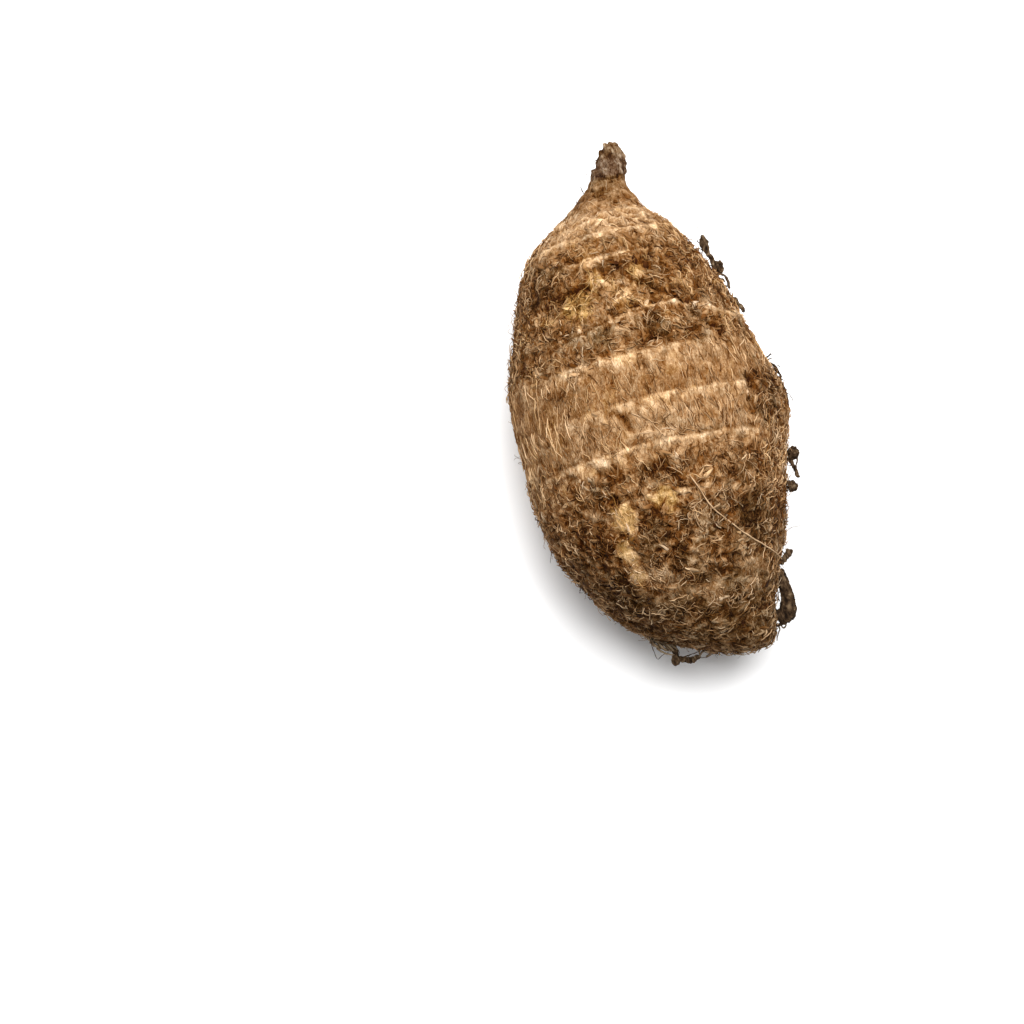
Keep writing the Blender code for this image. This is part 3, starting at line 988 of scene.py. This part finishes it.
# %% Roots and crumbs
def make_weathered_material(name, grain, paleness):
    """Bark or soil: painted darker in its pits and paler on its bumps, as painted shade and painted
    highlight, with paler grains.
    """
    tree = Tree(name, {"Roughness": 0.95, "Specular IOR Level": 0.06})
    coarse = tree.noise(tree.place(grain), 1.4, 4.0, 0.65, 0.3)
    fine = tree.noise(tree.place(grain), 4.5, 3.0, 0.7)
    grit = ((tree.noise(tree.place(), 3.1, 1.0) - 0.66) * 9).clamped()
    # The coarse noise that raises the bumps also makes them paler and the pits darker: painted highlight and
    # painted shade.
    tone = tree.attribute("tone") + (coarse - 0.5) * 0.9 + (fine - 0.5) * 0.5 + grit * 0.20 + paleness
    return tree.finished(tree.ramp(BARK, tone.clamped()), coarse * 0.6 + fine * 0.6, 0.9, 0.25)


def weathered(name, node, material, depth, size, fuller, tone):
    """A rough copy of a frame node: bumps of this depth, this far apart along each axis, in mm, on a
    surface moved out by fuller, since a subdivided copy is thinner than the node. Tone: 0 dark, 1 pale."""
    piece = copy_of_node(name, node, 2)
    places, normals = points_of(piece)
    rough = hills(places, size, 4.0) + 0.6 * hills(places, np.array(size) * 0.45, 9.0)
    move_points(piece, places + normals * (fuller + depth * rough)[:, None])
    # The tone follows the bumps, paler where they stand out and darker in the pits: painted highlight and
    # painted shade.
    store(piece, "tone", tone + 0.40 * rough)
    piece.data.materials.append(material)
    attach(piece, "root")
    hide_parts(node)
    print(f"{name}: {len(piece.data.polygons)} faces")


bark = make_weathered_material("dead_root_bark", (1.0, 0.35, 1.0), 0.0)
soil = make_weathered_material("dry_soil_crumb", (1.0, 1.0, 1.0), 0.06)
WRINKLES = (0.55, 1.2, 0.55)  # how far apart a root's wrinkles are along X, Y and Z, mm
PITS = (0.8, 0.8, 0.8)  # and a crumb's pits
WRINKLE_DEPTH, PIT_DEPTH = 0.30, 0.42  # mm
# (node, how far its surface is moved out in mm, tone)
DEAD_ROOTS = (
    ("thick_root", 0.42, 0.20),
    ("hook_root", 0.25, 0.34),
    ("crumb_rootlet", 0.20, 0.28),
    ("side_root", 0.15, 0.30),
    ("upper_root", 0.22, 0.30),
    ("base_rootlet", 0.22, 0.30),
)
CRUMBS = (
    ("rooted_crumb", 0.20, 0.16),
    ("soil_crumb", 0.20, 0.20),
    ("soil_bead", 0.20, 0.24),
)
for node, fuller, tone in DEAD_ROOTS:
    weathered(f"withered_{node}", node, bark, WRINKLE_DEPTH, WRINKLES, fuller, tone)
for node, fuller, tone in CRUMBS:
    weathered(f"dry_{node}", node, soil, PIT_DEPTH, PITS, fuller, tone)

# %% [markdown]
# ## Root hairs and loose fibres
# Finer roots join the thick ones to the skin, and some fibres have come loose. Each of these runs
# where it does by chance, so they are placed one by one, through a few points in mm. A smooth curve
# through the points becomes the path that the same rod is bent along.

# %% Root hairs, one by one
# (radius, tone, then the points)
ROOT_HAIRS = (
    # Below the base, on its left
    (0.12, 0.22, (-11.5, -51.4, 22.0), (-11.4, -53.9, 20.5), (-10.8, -56.6, 18.5), (-9.3, -55.9, 18.5),
     (-7.2, -55.6, 19.2)),
    (0.13, 0.30, (-7.3, -54.6, 20.5), (-7.2, -55.6, 19.4), (-6.8, -56.8, 19.0), (-6.1, -57.5, 18.4)),
    (0.10, 0.30, (-6.5, -55.1, 20.0), (-5.9, -55.8, 19.5), (-5.7, -56.9, 18.8)),
    (0.17, 0.26, (-5.8, -57.7, 18.4), (-4.3, -57.5, 18.3), (-2.9, -57.3, 18.6), (-1.4, -57.1, 19.5),
     (-1.7, -56.0, 21.0)),
    (0.11, 0.33, (-1.7, -58.4, 18.4), (-0.6, -58.8, 18.3), (0.5, -58.7, 18.5), (1.2, -58.4, 18.8),
     (1.7, -57.7, 19.6), (2.1, -56.9, 20.5)),
    (0.13, 0.30, (-1.4, -58.0, 18.5), (-0.7, -57.2, 19.2), (0.0, -56.7, 20.0)),
    (0.15, 0.25, (1.3, -58.5, 18.7), (2.1, -57.7, 19.4)),
    (0.15, 0.22, (4.8, -58.7, 20.5), (5.7, -59.5, 19.6), (6.3, -60.0, 19.2)),
    (0.51, 0.60, (-12.6, -50.0, 20.4), (-11.6, -51.7, 20.4), (-10.7, -53.4, 20.4), (-9.8, -54.9, 20.4)),
    (0.44, 0.54, (-12.2, -50.8, 20.2), (-11.3, -52.5, 20.2), (-10.8, -53.9, 20.2)),
    (0.58, 0.64, (-11.5, -50.6, 20.6), (-10.3, -52.6, 20.6), (-9.4, -54.2, 20.6), (-8.5, -55.4, 20.6)),
    (0.51, 0.52, (-10.5, -51.1, 20.4), (-9.4, -52.9, 20.4), (-8.3, -54.5, 20.4), (-7.4, -55.8, 20.4)),
    (0.54, 0.66, (-9.5, -51.8, 20.8), (-8.5, -53.3, 20.8), (-7.6, -54.7, 20.8), (-7.0, -55.9, 20.8)),
    (0.44, 0.58, (-8.5, -52.6, 20.6), (-7.4, -53.9, 20.6), (-6.6, -54.9, 20.6), (-6.1, -55.7, 20.6)),
    (0.34, 0.48, (-11.7, -52.5, 20.2), (-10.4, -53.7, 20.2), (-9.1, -54.8, 20.2), (-7.9, -55.5, 20.2)),
    (0.31, 0.56, (-10.9, -52.1, 21.0), (-9.5, -53.2, 21.0), (-8.2, -53.8, 21.0), (-6.7, -54.4, 21.0)),
    (0.27, 0.64, (-10.6, -54.3, 20.4), (-9.5, -55.4, 20.4), (-8.2, -56.3, 20.4), (-7.0, -56.7, 20.4)),
    (0.37, 0.54, (2.4, -55.2, 20.6), (0.6, -56.6, 20.6), (-0.9, -57.6, 20.6), (-1.9, -58.4, 20.6)),
    (0.31, 0.60, (1.0, -55.1, 20.8), (-0.3, -56.2, 20.8), (-1.2, -57.0, 20.8), (-1.7, -57.9, 20.8)),
    (0.34, 0.52, (4.0, -57.0, 20.4), (2.4, -57.9, 20.4), (0.7, -58.4, 20.4), (-0.4, -58.7, 20.4)),
    # Between the thick root and the skin
    (0.75, 0.12, (18.0, -53.9, 21.4), (16.8, -54.1, 21.3), (15.4, -53.6, 21.2)),
    (0.60, 0.16, (17.6, -52.4, 21.4), (16.6, -52.8, 21.3), (15.4, -52.4, 21.4)),
    (0.50, 0.24, (18.2, -55.4, 21.0), (17.0, -55.7, 21.0), (15.8, -54.8, 21.0)),
    (0.12, 0.40, (19.5, -48.1, 22.4), (19.0, -47.1, 22.2), (18.6, -46.5, 22.2), (17.8, -46.1, 22.4)),
    (0.14, 0.30, (18.7, -50.7, 22.0), (18.1, -49.4, 22.0), (17.5, -48.5, 22.2), (16.6, -47.9, 22.6)),
    (0.14, 0.35, (19.0, -47.3, 22.3), (18.7, -48.4, 22.0), (18.6, -49.7, 21.8), (18.2, -50.5, 21.7),
     (17.3, -51.4, 21.6)),
    (0.14, 0.25, (16.8, -51.3, 21.6), (17.5, -52.2, 21.5), (18.2, -53.2, 21.4)),
    (0.10, 0.45, (16.2, -49.4, 22.4), (17.4, -50.0, 22.0), (18.6, -50.7, 21.8)),
    (0.09, 0.45, (19.4, -46.7, 22.6), (18.6, -47.6, 22.2), (17.5, -48.0, 22.2)),
    (0.09, 0.40, (19.1, -48.8, 22.4), (18.6, -48.5, 22.2), (17.8, -47.3, 22.2)),
    (0.12, 0.45, (19.6, -45.3, 23.0), (19.8, -44.1, 23.2), (20.2, -43.3, 23.3), (20.7, -43.6, 23.2),
     (20.9, -45.0, 23.0)),
    (0.20, 0.40, (17.1, -55.7, 21.0), (17.2, -56.7, 20.4), (16.8, -57.4, 20.0), (16.3, -58.3, 19.8),
     (16.0, -59.1, 19.6)),
    (0.24, 0.45, (18.6, -55.3, 21.2), (18.8, -56.1, 20.8), (18.2, -56.6, 20.6), (17.7, -55.9, 20.8)),
    # On the right, from the thick root upwards
    (0.20, 0.45, (21.4, -39.7, 24.4), (21.9, -40.6, 24.3), (21.8, -41.6, 24.4)),
    (0.16, 0.45, (21.8, -40.7, 24.4), (22.3, -40.6, 24.4)),
    (0.07, 0.35, (22.9, -36.7, 25.0), (23.4, -36.2, 25.2), (24.9, -35.5, 25.6), (26.1, -35.6, 25.8),
     (28.1, -35.6, 26.0)),
    (0.12, 0.25, (24.2, -30.6, 25.8), (24.9, -30.1, 25.8), (25.3, -29.5, 26.0)),
    (0.09, 0.25, (23.8, -32.8, 25.2), (24.2, -33.4, 25.4), (24.1, -34.0, 25.2)),
    (0.10, 0.25, (23.3, -32.4, 25.0), (23.9, -32.3, 25.4), (24.2, -33.1, 25.4)),
    (0.24, 0.36, (29.7, -20.1, 26.8), (29.8, -20.8, 26.9), (29.5, -21.7, 26.9), (29.1, -22.7, 26.8),
     (29.1, -23.3, 26.6)),
    (0.07, 0.70, (28.1, -21.8, 26.4), (27.3, -23.1, 26.2), (26.6, -24.3, 25.8), (26.1, -25.2, 25.4)),
    (0.06, 0.75, (28.5, -23.3, 26.4), (27.6, -24.2, 26.2), (26.8, -25.1, 25.8)),
    (0.30, 0.16, (27.8, 2.4, 27.4), (28.9, 2.7, 27.6), (29.7, 3.3, 27.7)),
    (0.26, 0.20, (28.0, 2.0, 27.5), (29.0, 2.1, 27.6), (29.7, 2.2, 27.7)),
    (0.10, 0.30, (29.2, 2.9, 27.5), (29.8, 3.0, 27.5), (30.3, 3.3, 27.5)),
    (0.46, 0.16, (28.6, 1.4, 27.5), (29.7, 0.6, 27.6), (30.2, -0.4, 27.6), (30.5, -1.4, 27.5)),
    (0.42, 0.22, (29.4, 0.1, 27.0), (30.2, -0.9, 27.2), (30.6, -2.1, 27.2), (30.3, -3.2, 27.0)),
    (0.14, 0.20, (30.5, 0.4, 27.2), (31.1, -0.1, 27.2), (31.2, -0.5, 27.2)),
    (0.06, 0.45, (31.8, 1.4, 27.2), (31.5, 0.2, 27.2), (31.1, -1.1, 27.2), (30.6, -2.5, 27.2)),
    (0.12, 0.20, (30.5, -2.6, 27.0), (31.2, -3.3, 27.0), (31.6, -4.2, 27.0)),
    (0.06, 0.30, (31.1, -5.4, 26.8), (31.8, -5.0, 26.8), (32.3, -4.7, 26.8)),
    (0.13, 0.22, (31.0, -6.0, 26.8), (31.7, -6.9, 26.8), (32.0, -7.8, 26.8), (31.9, -8.6, 26.8)),
    (0.40, 0.22, (30.2, -2.7, 26.6), (30.7, -4.2, 26.7), (31.0, -5.8, 26.6)),
    (0.38, 0.28, (30.6, -5.1, 26.6), (30.9, -6.7, 26.7), (30.8, -8.5, 26.6)),
    (0.30, 0.20, (26.4, -26.6, 26.2), (25.4, -26.4, 26.0), (24.4, -26.0, 25.6)),
    (0.22, 0.30, (26.2, -27.2, 26.2), (25.2, -27.6, 26.0), (24.2, -28.0, 25.6)),
    (0.16, 0.40, (26.6, -25.6, 26.4), (25.8, -24.6, 26.2), (25.2, -23.4, 26.0)),
    (0.34, 0.16, (28.4, -19.6, 26.8), (27.4, -19.2, 26.6), (26.4, -18.6, 26.4)),
    # By the upper root
    (0.08, 0.55, (20.7, 35.1, 27.4), (20.9, 33.9, 27.4), (21.3, 32.4, 27.4)),
    (0.15, 0.25, (20.0, 32.2, 26.5), (20.4, 31.3, 26.8), (21.0, 30.5, 27.0)),
    (0.15, 0.35, (19.0, 30.4, 26.0), (19.8, 30.3, 26.6), (20.5, 29.8, 26.8), (20.4, 28.7, 26.6),
     (20.0, 28.5, 26.2)),
    (0.12, 0.30, (19.8, 29.4, 26.2), (20.3, 29.1, 26.6), (20.8, 29.6, 27.0)),
    (0.16, 0.35, (20.4, 27.0, 26.4), (21.0, 26.9, 26.8), (21.7, 27.4, 27.4)),
    (0.14, 0.30, (17.7, 33.8, 24.5), (18.2, 33.0, 24.8), (18.8, 32.2, 25.0)),
    # Scraps of bark below the bead of soil
    (0.50, 0.42, (21.8, 23.5, 25.6), (23.0, 23.6, 26.0), (24.0, 23.2, 26.0), (24.4, 22.4, 25.8)),
    (0.45, 0.34, (24.4, 22.7, 25.6), (24.6, 21.5, 25.8), (24.6, 19.9, 25.4)),
    (0.40, 0.30, (21.8, 22.4, 25.8), (22.8, 21.3, 26.2), (24.2, 20.4, 25.8)),
    (0.36, 0.40, (22.4, 22.1, 26.0), (23.4, 22.3, 26.4), (24.0, 21.6, 26.0)),
    # Left of the neck
    (0.14, 0.12, (-2.2, 50.8, 23.4), (-2.1, 49.9, 23.6), (-1.8, 48.7, 23.8)),
    (0.10, 0.25, (-4.1, 47.9, 23.8), (-4.0, 47.1, 23.9), (-3.4, 46.4, 24.0)),
    (0.10, 0.25, (-6.6, 45.2, 24.0), (-6.6, 44.3, 24.1), (-6.0, 43.5, 24.2)),
    (0.14, 0.25, (2.2, 55.9, 22.5), (2.8, 56.0, 22.6), (3.7, 56.5, 22.8)),
)
print(len(ROOT_HAIRS), "root hairs")

# %% Fibres that lie on the skin, one by one
# (radius, tone, hue, lift over the skin, then the points near it)
LONG_FIBRES = (
    (0.22, 0.72, 0.35, 0.65, (3.6, -21.0, 50.8), (4.7, -22.8, 50.1), (5.2, -24.5, 49.5), (5.9, -26.9, 48.4),
     (6.9, -28.7, 47.5), (8.4, -30.5, 46.2), (9.6, -31.9, 45.1), (11.5, -34.1, 43.2), (13.5, -36.1, 41.2),
     (15.5, -37.9, 38.8), (17.4, -39.2, 35.9), (19.1, -40.7, 31.8), (20.4, -41.7, 25.6)),
    (0.10, 0.58, 0.35, 0.45, (6.7, -21.8, 50.0), (6.0, -22.5, 49.9), (5.0, -23.1, 50.0)),
    (0.10, 0.60, 0.35, 0.45, (9.3, -22.3, 49.1), (8.8, -23.4, 49.0), (7.8, -24.3, 49.0)),
    (0.11, 0.58, 0.35, 0.45, (1.4, -28.2, 48.8), (2.0, -27.2, 49.1), (3.0, -26.7, 49.2), (4.0, -26.5, 49.0)),
    (0.12, 0.64, 0.35, 0.50, (2.5, -29.1, 48.3), (2.9, -30.5, 47.7), (3.3, -32.1, 46.9), (4.1, -33.4, 46.2)),
    (0.10, 0.58, 0.30, 0.50, (9.1, -32.8, 44.9), (9.5, -33.5, 44.4), (9.0, -34.5, 44.2)),
    (0.12, 0.60, 0.35, 0.50, (6.6, -38.8, 43.2), (6.8, -40.2, 42.5), (7.2, -41.4, 41.7)),
    (0.12, 0.54, 0.35, 0.55, (16.5, -20.2, 46.1), (17.7, -21.3, 44.7), (18.7, -22.6, 43.4),
     (19.5, -23.8, 42.1), (20.5, -24.9, 40.3)),
    (0.10, 0.54, 0.35, 0.50, (11.1, -20.8, 48.9), (11.3, -22.2, 48.5), (12.1, -23.2, 47.9)),
    (0.11, 0.56, 0.35, 0.50, (11.6, -24.9, 47.5), (12.0, -26.4, 46.6), (12.2, -28.1, 45.7)),
    (0.13, 0.56, 0.45, 0.50, (20.8, -4.2, 43.9), (19.3, -5.7, 45.5), (17.8, -7.5, 46.8), (16.6, -9.4, 47.6),
     (16.2, -10.5, 47.8), (15.9, -12.0, 47.8)),
    (0.10, 0.54, 0.45, 0.50, (16.2, -10.2, 47.8), (17.2, -9.4, 47.3), (18.4, -9.2, 46.2)),
    (0.13, 0.60, 0.40, 0.70, (26.1, -7.8, 37.1), (25.0, -7.9, 38.6), (24.0, -8.7, 40.3), (23.3, -9.9, 41.1),
     (23.2, -11.6, 40.9)),
    (0.12, 0.56, 0.40, 0.70, (22.0, -8.2, 42.7), (22.7, -7.0, 41.9), (24.3, -6.1, 39.8)),
    (0.12, 0.60, 0.40, 0.75, (25.0, -11.6, 38.1), (26.1, -11.1, 36.4), (26.8, -10.5, 35.4),
     (28.2, -9.6, 33.0)),
    (0.11, 0.56, 0.40, 0.75, (26.7, -10.9, 35.3), (27.2, -11.8, 34.1), (27.9, -12.6, 32.0)),
    (0.11, 0.56, 0.40, 0.70, (25.4, -6.5, 38.3), (26.4, -7.2, 36.6), (26.8, -8.3, 35.8), (26.8, -9.6, 35.7)),
    (0.12, 0.54, 0.40, 0.60, (28.5, -4.3, 32.8), (29.2, -5.7, 31.7), (29.6, -7.2, 30.3)),
    (0.11, 0.54, 0.40, 0.60, (24.6, -16.6, 36.7), (23.9, -18.0, 37.2), (23.4, -19.5, 37.4)),
    (0.11, 0.52, 0.40, 0.60, (26.9, -18.9, 29.6), (26.6, -20.7, 29.0), (25.7, -22.3, 30.4)),
    (0.10, 0.54, 0.40, 0.50, (20.5, -21.2, 41.6), (21.8, -21.2, 39.8), (22.5, -21.9, 38.1)),
    (0.12, 0.56, 0.45, 0.50, (14.6, 13.2, 45.6), (15.8, 14.5, 44.3), (17.0, 15.4, 42.8)),
    (0.12, 0.58, 0.40, 0.50, (20.5, 10.2, 41.0), (22.2, 11.3, 38.2), (23.7, 12.9, 34.7)),
    (0.12, 0.56, 0.40, 0.50, (17.2, 24.3, 37.7), (18.2, 25.8, 35.4), (18.9, 27.9, 32.1)),
)
print(len(LONG_FIBRES), "fibres, the longest through", max(len(row) for row in LONG_FIBRES) - 4, "points")

# %% Rods along smooth curves
def smooth_curve(places, levels):
    """A curve through all these places, as this many points an equal step apart."""
    places = np.array(places)
    ends = np.vstack([2 * places[0] - places[1], places, 2 * places[-1] - places[-2]])
    t = np.linspace(0, 1, 12, endpoint=False)[:, None]
    fine = [
        0.5 * (2 * b + (c - a) * t + (2 * a - 5 * b + 4 * c - d) * t**2 + (3 * b - a - 3 * c + d) * t**3)
        for a, b, c, d in zip(ends, ends[1:], ends[2:], ends[3:])
    ]
    fine = np.vstack(fine + [places[-1:]])
    walked = np.concatenate([[0], np.cumsum(np.linalg.norm(np.diff(fine, axis=0), axis=1))])
    even = np.linspace(0, walked[-1], levels)
    return np.stack([np.interp(even, walked, fine[:, axis]) for axis in range(3)], axis=1)


FAR_END = 0.6  # how thick a hair's far end is, as a part of its foot


def hand_placed(name, rows, material):
    """One piece made of a rod for each row, which is its radius, tone and hue, then its points."""
    levels = STRAND["levels"]
    radii, tones, hues = [np.array([row[column] for row in rows]) for column in range(3)]
    paths = np.stack([smooth_curve(row[3], levels) for row in rows])
    for axis in range(3):
        paths[:, :, axis] += 0.12 * hills(paths.reshape(-1, 3), 0.9, 20.0 * axis).reshape(paths.shape[:2])
    outs = np.tile(unit(np.array((0.02, 0.03, 1.0))), paths.shape[:2] + (1,))
    knots = 1.0 + 0.5 * hills(paths.reshape(-1, 3), 0.7, 70.0).reshape(paths.shape[:2])
    widths = radii[:, None] * np.linspace(1.0, FAR_END, levels) * knots
    tones = tones[:, None] + 0.3 * (knots - 1.0)
    bend_copies(name, STRAND, paths, outs, widths, tones, hues, material=material)


def laid_on_skin(places, lift):
    """Points on the skin that follow these places, raised by lift, in mm."""
    spots, outs = nearest_skin(smooth_curve(places, 10))
    return spots + outs * (lift + 0.6 * skin_at(spots)[3])[:, None]


free = [(radius, tone, 0.5, places) for radius, tone, *places in ROOT_HAIRS]
hand_placed("root_hairs", free, rootlet_material)
lying = [(radius, tone, hue, laid_on_skin(places, lift)) for radius, tone, hue, lift, *places in LONG_FIBRES]
hand_placed("long_fibres", lying, fibre_material)

# %% [markdown]
# ## Stray hairs
# A few hundred fine hairs stand off the felt and curl, most of them where the husk has rotted. They
# are all over the corm but for its underside, and where they cross its outline they make it soft.

# %% Hairs that stand off the felt
def stray_hairs(name, count):
    starts = scatter(count * 3)
    _, hue, matting, _, _ = skin_at(starts)
    upright = nearest_skin(starts)[1][:, 2] > -0.6  # none between the corm and what it lies on
    kept = np.flatnonzero((rng.random(len(starts)) < 0.12 + 0.88 * matting) & upright)[:count]
    starts, hue = starts[kept], hue[kept]
    count, levels = len(kept), CURL["levels"]
    turns = rng.normal(0, 16, (count, 1)) + rng.normal(0, 26, (count, levels - 1))
    paths, outs = trace(starts, rng.uniform(-180, 180, count), rng.uniform(1.5, 5.0, count), levels, turns)
    reach = reach_of(levels)
    height = rng.uniform(0.5, 2.2, (count, 1))
    droop = rng.uniform(0.4, 1.0, (count, 1))
    paths, tone, _ = lifted(paths, outs, height * np.sin(np.pi * 0.5 * reach / droop) * (0.3 + 0.7 * reach))
    dark = rng.random((count, 1)) < 0.5
    tones = 0.8 * tone + np.where(dark, -0.10, 0.18)
    widths = rng.uniform(0.04, 0.07, (count, 1)) * np.linspace(1.2, 0.6, levels)
    bend_copies(name, CURL, paths, outs, widths, np.clip(tones, 0.05, 0.9), hue)


stray_hairs("stray_hairs", 650)

# %% [markdown]
# ## The stage
# The corm lies on a plain white sheet under a large soft light from the upper right. The camera
# stands almost straight above it, and a little on the side of its base.

# %% Floor, light and camera
# The stage is in metres and degrees.
VIEW_TURN = 13.7  # how far the corm's neck leans to the left as the camera sees it
ELEVATION = 84.0  # how high over the horizon the camera stands, on the base's side
CAMERA_AWAY = 0.80  # from the camera to the point it looks at
SEEN_WIDE = 0.228  # how wide a strip the camera sees at the corm's middle height
LOOK_AT = Vector((-0.0348, -0.0175, 0.026))  # left of the corm, which so stands right of the middle
SENSOR = 36.0  # the camera's sensor and lens are in mm
SKY_STRENGTH = 0.34  # the even light from all round
KEY_PLACE = (0.18, 0.34, 1.13)
KEY_SIZE = 0.95  # the side of its square, which is large so that shadows are soft
KEY_WATTS = 31.0


def make_floor():
    bpy.ops.object.select_all(action="DESELECT")
    bpy.ops.mesh.primitive_plane_add(size=3.0)
    floor = bpy.context.object
    floor.name = "floor"
    tree = Tree("white_sheet", {"Base Color": colour(250, 250, 250), "Roughness": 0.9})
    floor.data.materials.append(tree.material)


def make_light(name, place, size, watts):
    light = bpy.data.lights.new(name, "AREA")
    light.size = size
    light.energy = watts
    lamp = bpy.data.objects.new(name, light)
    lamp.location = place
    lamp.rotation_euler = (-Vector(place)).to_track_quat("-Z", "Y").to_euler()
    bpy.context.scene.collection.objects.link(lamp)


def make_camera():
    data = bpy.data.cameras.new("camera")
    data.sensor_width = SENSOR
    data.lens = SENSOR * CAMERA_AWAY / SEEN_WIDE
    camera = bpy.data.objects.new("camera", data)
    turn, tilt = math.radians(VIEW_TURN), math.radians(ELEVATION)
    back = Vector((-math.sin(turn) * math.cos(tilt), -math.cos(turn) * math.cos(tilt), math.sin(tilt)))
    right = Vector((math.cos(turn), -math.sin(turn), 0.0))
    up = back.cross(right)
    camera.matrix_world = Matrix.LocRotScale(LOOK_AT + back * CAMERA_AWAY,
                                             Matrix((right, up, back)).transposed(), None)
    bpy.context.scene.collection.objects.link(camera)
    bpy.context.scene.camera = camera


def make_sky():
    world = bpy.data.worlds.new("soft_room")
    world.use_nodes = True
    sky = world.node_tree.nodes["Background"]
    sky.inputs["Color"].default_value = (1.0, 1.0, 1.0, 1.0)
    sky.inputs["Strength"].default_value = SKY_STRENGTH
    bpy.context.scene.world = world


make_floor()
make_sky()
make_light("key", KEY_PLACE, KEY_SIZE, KEY_WATTS)
make_camera()
bpy.context.scene.view_settings.view_transform = "Standard"
print("lens, mm:", round(bpy.context.scene.camera.data.lens, 1))
